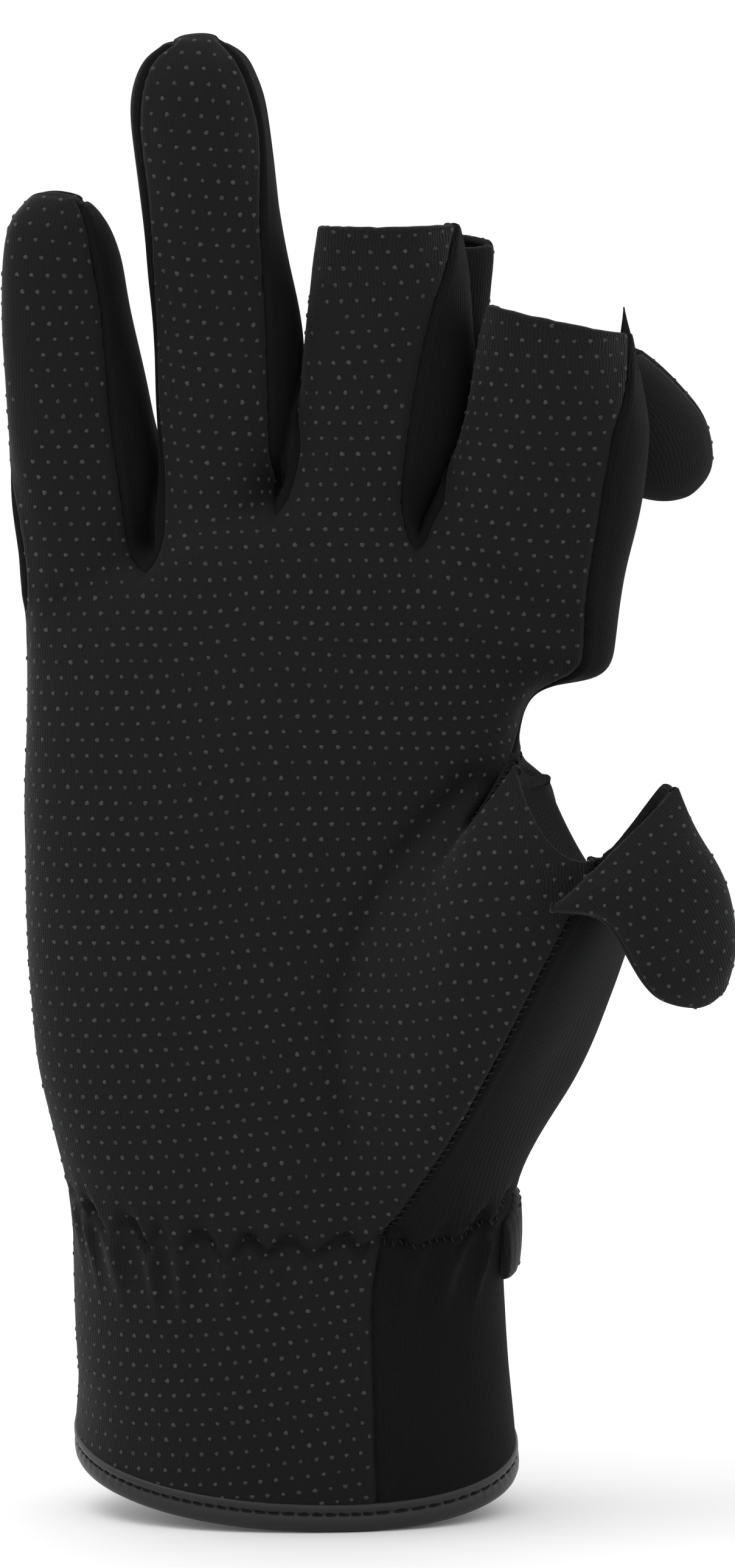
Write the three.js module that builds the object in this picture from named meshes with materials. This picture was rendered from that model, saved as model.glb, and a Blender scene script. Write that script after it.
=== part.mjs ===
import * as THREE from "three";

// Fishing glove with folded-back fingertip caps, in mm, +Z up, palm facing -Y.
// The origin is the middle of the wrist opening at the hem.

// Named sizes
const gloveHeight = 240;
const palmWidth = 91.2;
const palmDepth = 34;
const fingerDepth = 18;
const wallThickness = 1.8;
const capWall = 1.4;
const seamGap = 0.3;
const hemHeight = 4.4;
const hemSwell = 0.55;
const gatherDepth = 1.1;
const puckerHeight = 0.45;
const webRise = 2.2;
const rimDrop = 2.2;
const flapRise = 4.8;
const fingerTurn = 0.17;
const sideFill = 1.4;
const fingerPlane = -0.535 * palmDepth;
const strapHeight = 11.6;
const strapThickness = 2.3;
const strapClearance = 0.45;

// Left edge of the hand from hem to fingers
// Columns: up as a share of gloveHeight, across as a share of palmWidth
const leftOutline = [
  [0.0075, -0.3792], [0.0241, -0.3813], [0.0449, -0.3771], [0.0656, -0.3781],
  [0.0864, -0.3823], [0.1279, -0.3833], [0.1529, -0.3844], [0.1736, -0.3854],
  [0.1913, -0.3896], [0.2113, -0.4062], [0.2312, -0.4208], [0.2512, -0.4323],
  [0.2712, -0.4427], [0.2912, -0.45], [0.3112, -0.4552], [0.3512, -0.4615],
  [0.3911, -0.4635], [0.4311, -0.4656], [0.4711, -0.4646], [0.5111, -0.4615],
  [0.531, -0.4604], [0.551, -0.4625], [0.579, -0.4656],
];

// Right edge of the hand under the thumb, from hem to fingers
// Columns: up as a share of gloveHeight, across as a share of palmWidth
const rightOutline = [
  [-0.0075, 0.3802], [0.0241, 0.376], [0.0449, 0.3708], [0.0656, 0.3667],
  [0.0864, 0.3635], [0.1072, 0.3604], [0.1279, 0.3563], [0.1487, 0.3583],
  [0.1695, 0.3604], [0.1913, 0.3677], [0.2113, 0.401], [0.2312, 0.4219],
  [0.2592, 0.4302], [0.2912, 0.4302], [0.3312, 0.4198], [0.3711, 0.4094],
  [0.4111, 0.3969], [0.4511, 0.3865], [0.4711, 0.3813], [0.4871, 0.3906],
  [0.5051, 0.4427], [0.5182, 0.524], [0.5318, 0.551], [0.551, 0.549],
];

// Cuff seam and the valley beside the ball of the thumb
// Columns: up as a share of gloveHeight, across as a share of palmWidth
const creaseLine = [
  [-0.0192, 0.1396], [0.0607, 0.1302], [0.1207, 0.1271], [0.1487, 0.1323],
  [0.1647, 0.1385], [0.1966, 0.1177], [0.2286, 0.0917], [0.2606, 0.0792],
  [0.2978, 0.074], [0.3325, 0.0833], [0.3601, 0.101], [0.3845, 0.1281],
  [0.4121, 0.1729], [0.4453, 0.2458], [0.4757, 0.326], [0.5084, 0.3781],
  [0.5404, 0.3865], [0.5804, 0.3781], [0.6204, 0.3656],
];

// Line where the fingers begin
// Columns: across as a share of palmWidth, up as a share of gloveHeight
const webLine = [
  [-0.4656, 0.567], [-0.2469, 0.6022], [-0.0385, 0.6398], [0.2, 0.6158], [0.5469, 0.547],
];

// Thickness of the hand by grid row, depths as shares of palmDepth, lean in degrees
// Columns: grid row, middle depth, half depth, lean, squareness
const bodyRows = [
  [0, 0.0, 0.735, 18, 2.1],
  [4, -0.206, 0.647, 20, 2.2],
  [7, -0.353, 0.565, 24, 2.3],
  [9, -0.397, 0.529, 0, 2.4],
  [12, -0.426, 0.518, 0, 2.5],
  [16, -0.441, 0.485, 0, 2.6],
  [19, -0.441, 0.429, 0, 2.7],
  [21, -0.441, 0.371, 0, 2.8],
];

// Little finger: up as a share of gloveHeight, edges and seams of palmWidth,
// middle depth of palmDepth, half depth of fingerDepth
// Columns: up, left edge, right edge, left seam, right seam, middle depth, half depth
const littleFinger = [
  [0.5674, -0.4656, -0.25, -0.4656, -0.2615, -0.429, 0.667],
  [0.5951, -0.4708, -0.25, -0.4708, -0.276, -0.418, 0.589],
  [0.621, -0.476, -0.2458, -0.476, -0.2865, -0.412, 0.533],
  [0.643, -0.4813, -0.2396, -0.4813, -0.2937, -0.412, 0.511],
  [0.6703, -0.4865, -0.2354, -0.4865, -0.3031, -0.418, 0.5],
  [0.6912, -0.4906, -0.2437, -0.4906, -0.3115, -0.426, 0.494],
  [0.7317, -0.4969, -0.2646, -0.4969, -0.3219, -0.453, 0.489],
  [0.7724, -0.501, -0.2865, -0.501, -0.3323, -0.488, 0.478],
  [0.7968, -0.499, -0.2969, -0.499, -0.3427, -0.512, 0.456],
  [0.8152, -0.4938, -0.3115, -0.4938, -0.351, -0.529, 0.411],
  [0.8295, -0.4802, -0.3323, -0.4802, -0.3594, -0.547, 0.333],
  [0.8398, -0.4573, -0.3594, -0.4573, -0.3719, -0.559, 0.211],
];

// Ring finger
// Columns: up, left edge, right edge, left seam, right seam, middle depth, half depth
const ringFinger = [
  [0.6116, -0.2427, -0.0427, -0.2344, -0.0448, -0.441, 0.7],
  [0.6356, -0.2375, -0.0396, -0.2323, -0.0448, -0.441, 0.611],
  [0.6597, -0.2302, -0.024, -0.2323, -0.0438, -0.447, 0.556],
  [0.6919, -0.2333, -0.0052, -0.2406, -0.0458, -0.459, 0.528],
  [0.7242, -0.2344, 0.0042, -0.2448, -0.0479, -0.476, 0.517],
  [0.7565, -0.2406, 0.0063, -0.2469, -0.05, -0.494, 0.511],
  [0.7889, -0.2479, -0.0094, -0.25, -0.0552, -0.512, 0.506],
  [0.8212, -0.2573, -0.025, -0.2531, -0.0604, -0.529, 0.5],
  [0.8535, -0.2667, -0.0375, -0.2594, -0.0625, -0.547, 0.489],
  [0.8858, -0.2771, -0.049, -0.2698, -0.0667, -0.565, 0.472],
  [0.9061, -0.2792, -0.0573, -0.2687, -0.0771, -0.576, 0.444],
  [0.9223, -0.2687, -0.0719, -0.2594, -0.0906, -0.588, 0.389],
  [0.9352, -0.2479, -0.0917, -0.2406, -0.1073, -0.594, 0.3],
  [0.9441, -0.2115, -0.126, -0.2073, -0.1323, -0.6, 0.189],
];

// Middle finger up to its open rim
// Columns: up, left edge, right edge, left seam, right seam, middle depth, half depth
const middleFinger = [
  [0.6117, -0.0344, 0.1969, -0.0365, 0.1844, -0.447, 0.7],
  [0.6359, -0.0302, 0.2292, -0.0323, 0.1802, -0.459, 0.633],
  [0.6634, -0.0125, 0.2656, -0.0094, 0.1844, -0.476, 0.578],
  [0.6966, 0.0031, 0.2885, 0.0073, 0.1969, -0.494, 0.556],
  [0.7382, 0.0125, 0.3, 0.0167, 0.2146, -0.518, 0.544],
  [0.7733, 0.0219, 0.2969, 0.025, 0.2344, -0.535, 0.533],
  [0.8041, 0.0281, 0.2896, 0.0302, 0.2573, -0.553, 0.528],
  [0.8243, 0.0354, 0.2771, 0.0375, 0.2615, -0.565, 0.522],
];

// Index finger up to its open rim
// Columns: up, left edge, right edge, left seam, right seam, middle depth, half depth
const indexFinger = [
  [0.5477, 0.2115, 0.549, 0.2115, 0.4896, -0.447, 0.7],
  [0.5719, 0.2094, 0.5531, 0.2115, 0.4969, -0.459, 0.667],
  [0.5963, 0.2052, 0.5635, 0.2115, 0.5052, -0.476, 0.633],
  [0.6219, 0.2094, 0.5771, 0.2115, 0.5135, -0.5, 0.6],
  [0.6504, 0.2417, 0.5917, 0.2448, 0.525, -0.524, 0.583],
  [0.6884, 0.2792, 0.601, 0.2792, 0.5406, -0.547, 0.567],
  [0.718, 0.2969, 0.5927, 0.2958, 0.5573, -0.565, 0.556],
  [0.7463, 0.3104, 0.5781, 0.3125, 0.5594, -0.582, 0.55],
  [0.7637, 0.3229, 0.5719, 0.324, 0.5552, -0.594, 0.544],
];

// Thumb, a row per ring from the palm to the rim: four points each,
// on the inner, front, outer and back side
// Columns: across, up, depth, for each of the four points
const thumbRings = [
  [0.3677, 0.456, -0.618, 0.1885, 0.297, -1.147, 0.4177, 0.2447, -0.647, 0.4562, 0.3407, -0.088],
  [0.3615, 0.4629, -0.706, 0.2719, 0.3322, -1.265, 0.4823, 0.3011, -0.706, 0.4927, 0.3705, -0.176],
  [0.3594, 0.4693, -0.765, 0.3448, 0.3647, -1.294, 0.5406, 0.3542, -0.765, 0.5188, 0.3882, -0.265],
  [0.3604, 0.4759, -0.794, 0.4146, 0.3941, -1.265, 0.5969, 0.4067, -0.794, 0.5177, 0.3908, -0.397],
  [0.3635, 0.4833, -0.824, 0.4771, 0.4199, -1.176, 0.6427, 0.4603, -0.794, 0.499, 0.3933, -0.559],
];

// Folded cap of the middle finger, a row per section from its mouth to its tip;
// deep is behind fingerPlane, as a share of fingerDepth
// Columns: one edge across, up and deep, other edge across, up and deep, half thickness
const middleCap = [
  [0.0635, 0.8085, 0.761, 0.3323, 0.8053, 0.761, 0.233],
  [0.0594, 0.7978, 0.788, 0.3385, 0.7978, 0.788, 0.256],
  [0.0615, 0.7693, 0.833, 0.3323, 0.7693, 0.833, 0.278],
  [0.0677, 0.7378, 0.866, 0.325, 0.7378, 0.866, 0.278],
  [0.0802, 0.708, 0.888, 0.3115, 0.708, 0.888, 0.267],
  [0.1073, 0.6839, 0.899, 0.2823, 0.6839, 0.899, 0.222],
  [0.1437, 0.6699, 0.899, 0.2406, 0.6699, 0.899, 0.144],
];

// Folded cap of the index finger
// Columns: one edge across, up and deep, other edge across, up and deep, half thickness
const indexCap = [
  [0.3448, 0.7504, 0.738, 0.5948, 0.7328, 0.738, 0.233],
  [0.3594, 0.734, 0.772, 0.6281, 0.722, 0.772, 0.256],
  [0.3885, 0.715, 0.827, 0.6604, 0.7086, 0.827, 0.278],
  [0.4219, 0.6986, 0.866, 0.6885, 0.6958, 0.866, 0.278],
  [0.4573, 0.6823, 0.899, 0.7052, 0.6831, 0.899, 0.278],
  [0.4906, 0.6661, 0.922, 0.7135, 0.6669, 0.922, 0.267],
  [0.5281, 0.6516, 0.933, 0.7073, 0.6524, 0.933, 0.222],
  [0.5719, 0.6404, 0.933, 0.6844, 0.6412, 0.933, 0.144],
];

// Folded cap of the thumb; deep is a share of palmDepth
// Columns: one edge across, up and deep, other edge across, up and deep, half thickness
const thumbCap = [
  [0.4354, 0.3913, -1.385, 0.651, 0.4658, -1.071, 0.167],
  [0.4771, 0.3904, -1.379, 0.6698, 0.4466, -1.091, 0.222],
  [0.5219, 0.3848, -1.338, 0.6927, 0.4293, -1.085, 0.25],
  [0.5552, 0.3679, -1.291, 0.724, 0.4082, -1.071, 0.267],
  [0.5844, 0.3465, -1.221, 0.7406, 0.38, -1.015, 0.256],
  [0.6198, 0.3301, -1.162, 0.7427, 0.3581, -1.0, 0.211],
  [0.6615, 0.3244, -1.118, 0.7302, 0.3381, -1.0, 0.133],
];
// Grid of the hand: rings of columns, rows from hem to fingers
const columnCount = 40;
const topRow = 21;
const gatherRow = 7;
const crotchRow = 17;
const seamColumn = 14;
const cornerColumn = 16;
const backColumn = 22;
const thumbRows = 10;
const degree = Math.PI / 180;

// Smooth curve through a table: column 0 (or keyColumn) is the place, another column the value
function lookup(table, at, column, keyColumn = 0) {
  const last = table.length - 1;
  const sign = table[last][keyColumn] > table[0][keyColumn] ? 1 : -1;
  const key = (i) => table[i][keyColumn] * sign;
  const place = at * sign;
  if (place <= key(0)) return table[0][column];
  if (place >= key(last)) return table[last][column];
  let i = 0;
  while (place > key(i + 1)) i += 1;
  const slope = (j) => (table[j + 1][column] - table[j][column]) / (key(j + 1) - key(j));
  const tangent = (j) => {
    if (j === 0) return slope(0);
    if (j === last) return slope(last - 1);
    const before = slope(j - 1);
    const after = slope(j);
    return before * after <= 0 ? 0 : (2 * before * after) / (before + after);
  };
  const span = key(i + 1) - key(i);
  const t = (place - key(i)) / span;
  const a = table[i][column];
  const b = table[i + 1][column];
  const t2 = t * t;
  const t3 = t2 * t;
  return (2 * t3 - 3 * t2 + 1) * a + (t3 - 2 * t2 + t) * span * tangent(i)
    + (3 * t2 - 2 * t3) * b + (t3 - t2) * span * tangent(i + 1);
}

function mix(a, b, t) {
  return a + (b - a) * t;
}

function smooth(t) {
  const s = Math.min(1, Math.max(0, t));
  return s * s * (3 - 2 * s);
}

// Rounded oval: angle 0 is the left edge, 90 the front, 180 the right edge, 270 the back
function oval(section, angle) {
  const c = Math.cos(angle * degree);
  const s = Math.sin(angle * degree);
  const power = 2 / section.square;
  const across = -Math.sign(c) * Math.abs(c) ** power;
  const depth = -Math.sign(s) * Math.abs(s) ** power;
  const lean = section.lean * degree;
  const turned = section.turn * depth * section.half;
  return {
    x: (section.left + section.right) / 2 + across * (section.right - section.left) / 2 + turned,
    y: section.middle + depth * section.half * Math.cos(lean),
    drop: depth * section.half * Math.sin(lean),
  };
}

// Angle on the front of an oval at a given place across
function frontAngle(section, x) {
  const straight = x + 0.85 * section.turn * section.half;
  const share = (straight - (section.left + section.right) / 2) / ((section.right - section.left) / 2);
  const s = Math.min(1, Math.max(-1, share));
  return Math.acos(-Math.sign(s) * Math.abs(s) ** (section.square / 2)) / degree;
}

const hemLeftUp = 0.0075 * gloveHeight;
const hemRightUp = -0.005 * gloveHeight;
const gatherLeftUp = 0.193 * gloveHeight;
const gatherRightUp = 0.188 * gloveHeight;

// Height of a row at its left edge, its right edge and in between
function cuffShare(row) {
  const first = hemHeight / (gatherLeftUp - hemLeftUp);
  return row <= 1 ? row * first : mix(first, 1, (row - 1) / (gatherRow - 1));
}

function webUp(x) {
  return lookup(webLine, x / palmWidth, 1) * gloveHeight;
}

function rowSection(row) {
  const share = row <= gatherRow ? cuffShare(row) : 1;
  const palm = Math.max(0, (row - gatherRow) / (topRow - gatherRow));
  const leftUp = mix(mix(hemLeftUp, gatherLeftUp, share), webLine[0][1] * gloveHeight, palm);
  const rightUp = mix(mix(hemRightUp, gatherRightUp, share), webLine[4][1] * gloveHeight, palm);
  return {
    left: lookup(leftOutline, leftUp / gloveHeight, 1) * palmWidth,
    right: lookup(rightOutline, rightUp / gloveHeight, 1) * palmWidth,
    middle: lookup(bodyRows, row, 1) * palmDepth,
    half: lookup(bodyRows, row, 2) * palmDepth,
    lean: row <= gatherRow ? lookup(bodyRows, row, 3) : 0,
    square: lookup(bodyRows, row, 4),
    turn: fingerTurn * smooth((row - crotchRow) / (topRow - crotchRow)),
    share,
    palm,
  };
}

function rowPoint(section, angle) {
  const p = oval(section, angle);
  const across = (p.x - section.left) / (section.right - section.left);
  const gatherLean = bodyRows[2][3] * degree;
  const gatherDrop = -Math.sin(angle * degree) * bodyRows[2][2] * palmDepth * Math.sin(gatherLean);
  const hem = mix(hemLeftUp, hemRightUp, across);
  const gather = mix(gatherLeftUp, gatherRightUp, across);
  const drop = section.palm > 0 ? gatherDrop : p.drop;
  const low = mix(hem, gather, section.share) + drop;
  return new THREE.Vector3(p.x, p.y, mix(low, webUp(p.x), section.palm));
}

// Angles of the columns of a row: along the seam and valley below, along the fingers above
function rowAngles(row, section) {
  let seam = 110;
  for (let i = 0; i < 6; i += 1) {
    const up = rowPoint(section, seam).z / gloveHeight;
    seam = mix(seam, frontAngle(section, lookup(creaseLine, up, 1) * palmWidth), 0.7);
  }
  const low = [[0, -6], [seamColumn, seam], [backColumn, 215], [36, 338], [40, 354]];
  const corner = frontAngle(section, indexFinger[0][4] * palmWidth);
  const bases = webLine.slice(1, 4).map((w) => frontAngle(section, w[0] * palmWidth));
  const high = [
    [0, 0], [4, bases[0]], [8, bases[1]], [12, bases[2]], [cornerColumn, corner],
    [20, 360 - corner], [24, 360 - bases[2]], [28, 360 - bases[1]], [32, 360 - bases[0]],
    [36, 340], [40, 360],
  ];
  const blend = smooth((row - crotchRow) / (topRow - crotchRow));
  const straight = (keys, at) => {
    let i = 0;
    while (i < keys.length - 2 && at > keys[i + 1][0]) i += 1;
    return mix(keys[i][1], keys[i + 1][1], (at - keys[i][0]) / (keys[i + 1][0] - keys[i][0]));
  };
  const angles = [];
  for (let c = 0; c < columnCount; c += 1) angles.push(mix(straight(low, c), straight(high, c), blend));
  return angles;
}

// All outer corners of the glove, the faces of each panel, and how much each corner is smoothed
const corners = [];
const softness = [];
const tight = new Set();
const panels = {};

function addCorner(point, soft = 0) {
  corners.push(point);
  softness.push(soft);
  return corners.length - 1;
}

function addFace(panel, face) {
  if (!panels[panel]) panels[panel] = [];
  panels[panel].push(face);
}

// Hand and cuff
const hand = [];
for (let row = 0; row <= topRow; row += 1) {
  const section = rowSection(row);
  const angles = rowAngles(row, section);
  const soft = row > crotchRow - 2 ? 0.22 : 0.15;
  hand.push(angles.map((angle, c) => {
    const hidden = row > gatherRow && row < crotchRow && c > seamColumn && c < backColumn;
    return hidden ? -1 : addCorner(rowPoint(section, angle), row < 3 ? 0 : soft);
  }));
}

function handPanel(row, c) {
  if (row < gatherRow) return c < seamColumn ? "palm_panel" : "back_panel";
  if (row < crotchRow) return c < seamColumn ? "palm_panel" : c < backColumn ? "" : "back_panel";
  return c < cornerColumn ? "palm_panel" : "back_panel";
}

for (let row = 1; row < topRow; row += 1) {
  for (let c = 0; c < columnCount; c += 1) {
    const next = (c + 1) % columnCount;
    const panel = handPanel(row, c);
    if (panel) addFace(panel, [hand[row][c], hand[row][next], hand[row + 1][next], hand[row + 1][c]]);
  }
}

// Webs between the fingers: three corners from front to back on each web line
const webs = [1, 2, 3].map((w) => {
  const front = corners[hand[topRow][4 * w]];
  const back = corners[hand[topRow][columnCount - 4 - 4 * w]];
  return [0.25, 0.5, 0.75].map((t) => {
    const p = front.clone().lerp(back, t);
    p.z += webRise * Math.sin(Math.PI * t) ** 0.5;
    return addCorner(p, 0.2);
  });
});

// A closed finger tip: a patch of four by four faces over a ring of sixteen corners
function closeTip(ring, rise, panelFor) {
  const grid = [];
  for (let i = 0; i <= 4; i += 1) {
    grid.push([]);
    for (let j = 0; j <= 4; j += 1) {
      if (i === 0) grid[i].push(ring[j]);
      else if (i === 4) grid[i].push(ring[12 - j]);
      else if (j === 4) grid[i].push(ring[4 + i]);
      else if (j === 0) grid[i].push(ring[16 - i]);
      else grid[i].push(-1);
    }
  }
  const at = (i, j) => corners[grid[i][j]];
  for (let i = 1; i < 4; i += 1) {
    for (let j = 1; j < 4; j += 1) {
      const u = i / 4;
      const v = j / 4;
      const p = new THREE.Vector3();
      p.addScaledVector(at(0, j), 1 - u).addScaledVector(at(4, j), u);
      p.addScaledVector(at(i, 0), 1 - v).addScaledVector(at(i, 4), v);
      p.addScaledVector(at(0, 0), -(1 - u) * (1 - v)).addScaledVector(at(0, 4), -(1 - u) * v);
      p.addScaledVector(at(4, 0), -u * (1 - v)).addScaledVector(at(4, 4), -u * v);
      p.addScaledVector(rise, Math.sin(Math.PI * u) * Math.sin(Math.PI * v));
      grid[i][j] = addCorner(p, 0);
    }
  }
  for (let i = 0; i < 4; i += 1) {
    for (let j = 0; j < 4; j += 1) {
      addFace(panelFor(i), [grid[i][j], grid[i][j + 1], grid[i + 1][j + 1], grid[i + 1][j]]);
    }
  }
}

// Fingers: rows of sixteen corners from the web to the tip or rim
function fingerSection(table, leftUp, rightUp, middleUp) {
  const value = (up, column, size) => lookup(table, up / gloveHeight, column) * size;
  return {
    left: value(leftUp, 1, palmWidth),
    right: value(rightUp, 2, palmWidth),
    leftSeam: value(leftUp, 3, palmWidth),
    rightSeam: value(rightUp, 4, palmWidth),
    middle: value(middleUp, 5, palmDepth),
    half: value(middleUp, 6, fingerDepth),
    lean: 0,
    turn: fingerTurn,
    square: 2.35,
  };
}

// A seam at a finger's left edge goes round to its side, above the web
function fingerAngles(section, q, edgeSeam) {
  const round = smooth((q - 0.2) / 0.3);
  const seam = frontAngle(section, section.leftSeam);
  const left = edgeSeam ? mix(seam, -14, round) : seam;
  const right = frontAngle(section, section.rightSeam);
  const backLeft = mix(360 - Math.max(seam, 20), 316, edgeSeam ? round : 0);
  const backRight = 360 - Math.min(right, 160);
  const angles = [];
  for (let i = 0; i < 4; i += 1) angles.push(mix(left, right, i / 4));
  for (let i = 0; i < 4; i += 1) angles.push(mix(right, backRight, i / 4));
  for (let i = 0; i < 4; i += 1) angles.push(mix(backRight, backLeft, i / 4));
  for (let i = 0; i < 4; i += 1) angles.push(mix(backLeft, left + 360, i / 4));
  return angles;
}

// How far the side panel's back part fills the gap low beside the next finger
function fillAt(angle, q) {
  const turn = Math.max(0, -Math.sin(angle * degree)) * Math.max(0, -Math.cos(angle * degree));
  return 2 * sideFill * turn * (1 - smooth((q - 0.28) / 0.14));
}

function addFinger(finger, index) {
  const base = [];
  for (let i = 0; i <= 4; i += 1) base.push(hand[topRow][4 * index + i]);
  for (let i = 0; i < 3; i += 1) base.push(index === 3 ? hand[topRow][17 + i] : webs[index][i]);
  for (let i = 0; i <= 4; i += 1) base.push(hand[topRow][(32 - 4 * index + i) % columnCount]);
  for (let i = 0; i < 3; i += 1) base.push(index === 0 ? hand[topRow][37 + i] : webs[index - 1][2 - i]);
  const table = finger.table;
  const last = table[table.length - 1];
  const top = last[0] * gloveHeight;
  const rings = [base];
  for (let row = 1; row <= finger.rows; row += 1) {
    const q = finger.shares ? finger.shares[row - 1] : row / finger.rows;
    const upAt = (x) => mix(webUp(x), top, q);
    const leftUp = upAt(webLine[index][0] * palmWidth);
    const rightUp = upAt(webLine[index + 1][0] * palmWidth);
    const section = fingerSection(table, leftUp, rightUp, (leftUp + rightUp) / 2);
    const slant = section.right - section.left;
    rings.push(fingerAngles(section, q, finger.edgeSeam).map((angle) => {
      const p = oval(section, angle);
      const across = (p.x - section.left) / slant;
      const s = Math.sin(angle * degree);
      let up = mix(leftUp, rightUp, across);
      if (finger.rim) {
        const back = -rimDrop * smooth((0.3 - s) / 1.3);
        const flap = flapRise * finger.rim.flap * Math.exp(-(((angle - 160) / 16) ** 2));
        up += q ** 4 * (finger.rim.slope * gloveHeight * (0.5 - across) + back + flap);
      }
      const fill = index < 2 ? fillAt(angle, q) : 0;
      return addCorner(new THREE.Vector3(p.x + fill, p.y, up), row < 3 ? 0.15 : 0);
    }));
  }
  [0, 4, 8, 12].forEach((i) => {
    const outside = (index === 0 && i % 12 === 0) || (index === 3 && (i === 4 || i === 8));
    if (!outside) tight.add(rings[0][i]).add(rings[1][i]);
  });
  const sidePanels = ["side_panel_little_ring", "side_panel_ring_middle", "side_panel_middle_index"];
  const panelAt = (i) => {
    if (i < 4) return "palm_panel";
    if (i < 8) return index === 3 ? "back_panel" : sidePanels[index];
    if (i < 12) return "back_panel";
    return index === 0 ? "back_panel" : sidePanels[index - 1];
  };
  for (let row = 0; row < finger.rows; row += 1) {
    for (let i = 0; i < 16; i += 1) {
      const next = (i + 1) % 16;
      addFace(panelAt(i), [rings[row][i], rings[row][next], rings[row + 1][next], rings[row + 1][i]]);
    }
  }
  if (!finger.rim) {
    const tip = new THREE.Vector3(0, 0, finger.tipRise * gloveHeight);
    closeTip(rings[finger.rows], tip, (i) => (i < 2 ? "palm_panel" : "back_panel"));
  }
  return rings;
}

const littleShares = [0.06, 0.15, 0.26, 0.38, 0.5, 0.62, 0.73, 0.83, 0.915, 0.965, 1];
const ringShares = [0.05, 0.12, 0.21, 0.31, 0.41, 0.51, 0.61, 0.71, 0.8, 0.875, 0.93, 0.972, 1];
const fingers = [
  { table: littleFinger, rows: 11, edgeSeam: true, tipRise: 0.006, shares: littleShares },
  { table: ringFinger, rows: 13, tipRise: 0.005, shares: ringShares },
  { table: middleFinger, rows: 9, edgeSeam: true, rim: { slope: 0, flap: 0.25 } },
  { table: indexFinger, rows: 9, edgeSeam: true, rim: { slope: 0.02, flap: 1 } },
];
fingers.forEach((finger, index) => addFinger(finger, index));

// Thumb: a fan of rings from the opening in the hand to its rim
const thumbLoop = [];
for (let c = seamColumn; c < backColumn; c += 1) thumbLoop.push(hand[crotchRow][c]);
for (let row = crotchRow; row > gatherRow; row -= 1) thumbLoop.push(hand[row][backColumn]);
for (let c = backColumn; c > seamColumn; c -= 1) thumbLoop.push(hand[gatherRow][c]);
for (let row = gatherRow; row < crotchRow; row += 1) thumbLoop.push(hand[row][seamColumn]);
const thumbCount = thumbLoop.length;
const thumbKeys = [0, 8, 18, 26, 36];

function thumbPoint(ring, i) {
  const t = ring / (thumbRings.length - 1);
  const turnsAtPalm = [45, -45, -135, -229, -315];
  const turnsAtRim = [40, -38, -150, -255, -320];
  const turns = turnsAtPalm.map((turn, k) => mix(turn, turnsAtRim[k], t));
  let k = 0;
  while (k < 3 && i > thumbKeys[k + 1]) k += 1;
  const share = (i - thumbKeys[k]) / (thumbKeys[k + 1] - thumbKeys[k]);
  const angle = mix(turns[k], turns[k + 1], share) * degree;
  const row = thumbRings[ring];
  const four = [0, 3, 6, 9].map((at) => new THREE.Vector3(
    row[at] * palmWidth, row[at + 2] * palmDepth, row[at + 1] * gloveHeight));
  const [inner, front, outer, back] = four;
  const point = new THREE.Vector3();
  const power = mix(0.55, 1, t);
  const c = (Math.sign(Math.cos(angle)) * Math.abs(Math.cos(angle)) ** power) / 2;
  const s = (Math.sign(Math.sin(angle)) * Math.abs(Math.sin(angle)) ** power) / 2;
  const d = Math.cos(2 * angle) / 4;
  point.addScaledVector(inner, 0.25 + c + d).addScaledVector(outer, 0.25 - c + d);
  point.addScaledVector(front, 0.25 + s - d).addScaledVector(back, 0.25 - s - d);
  return point;
}

function curvePoint(points, at) {
  const last = points.length - 1;
  const i = Math.min(last - 1, Math.floor(at));
  const t = at - i;
  const a = points[Math.max(0, i - 1)];
  const b = points[i];
  const c = points[i + 1];
  const d = points[Math.min(last, i + 2)];
  const p = new THREE.Vector3();
  p.addScaledVector(a, (-t + 2 * t * t - t * t * t) / 2);
  p.addScaledVector(b, (2 - 5 * t * t + 3 * t * t * t) / 2);
  p.addScaledVector(c, (t + 4 * t * t - 3 * t * t * t) / 2);
  p.addScaledVector(d, (-t * t + t * t * t) / 2);
  return p;
}

const thumb = [thumbLoop];
const thumbCurves = thumbLoop.map((corner, i) => {
  const points = [corners[corner].clone()];
  thumbRings.forEach((row, ring) => points.push(thumbPoint(ring, i)));
  return points;
});
for (let row = 1; row <= thumbRows; row += 1) {
  const at = (row / thumbRows) * thumbRings.length;
  const soft = row < 4 ? 0.5 : row < thumbRows ? 0.15 : 0;
  thumb.push(thumbCurves.map((points) => addCorner(curvePoint(points, at), soft)));
}
for (let row = 0; row < thumbRows; row += 1) {
  for (let i = 0; i < thumbCount; i += 1) {
    const next = (i + 1) % thumbCount;
    const panel = i < 2 || i >= 26 ? "palm_panel" : "thumb_back";
    addFace(panel, [thumb[row][i], thumb[row + 1][i], thumb[row + 1][next], thumb[row][next]]);
  }
}
thumbLoop.forEach((corner) => { softness[corner] = Math.max(softness[corner], 0.3); });

// Binding faces are kept apart: they only give the hem its direction
const hemFaces = [];
for (let c = 0; c < columnCount; c += 1) {
  const next = (c + 1) % columnCount;
  hemFaces.push([hand[0][c], hand[0][next], hand[1][next], hand[1][c]]);
}

// Smoothing of the joins between hand, fingers and thumb
function allFaces() {
  return Object.values(panels).flat().concat(hemFaces);
}

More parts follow.
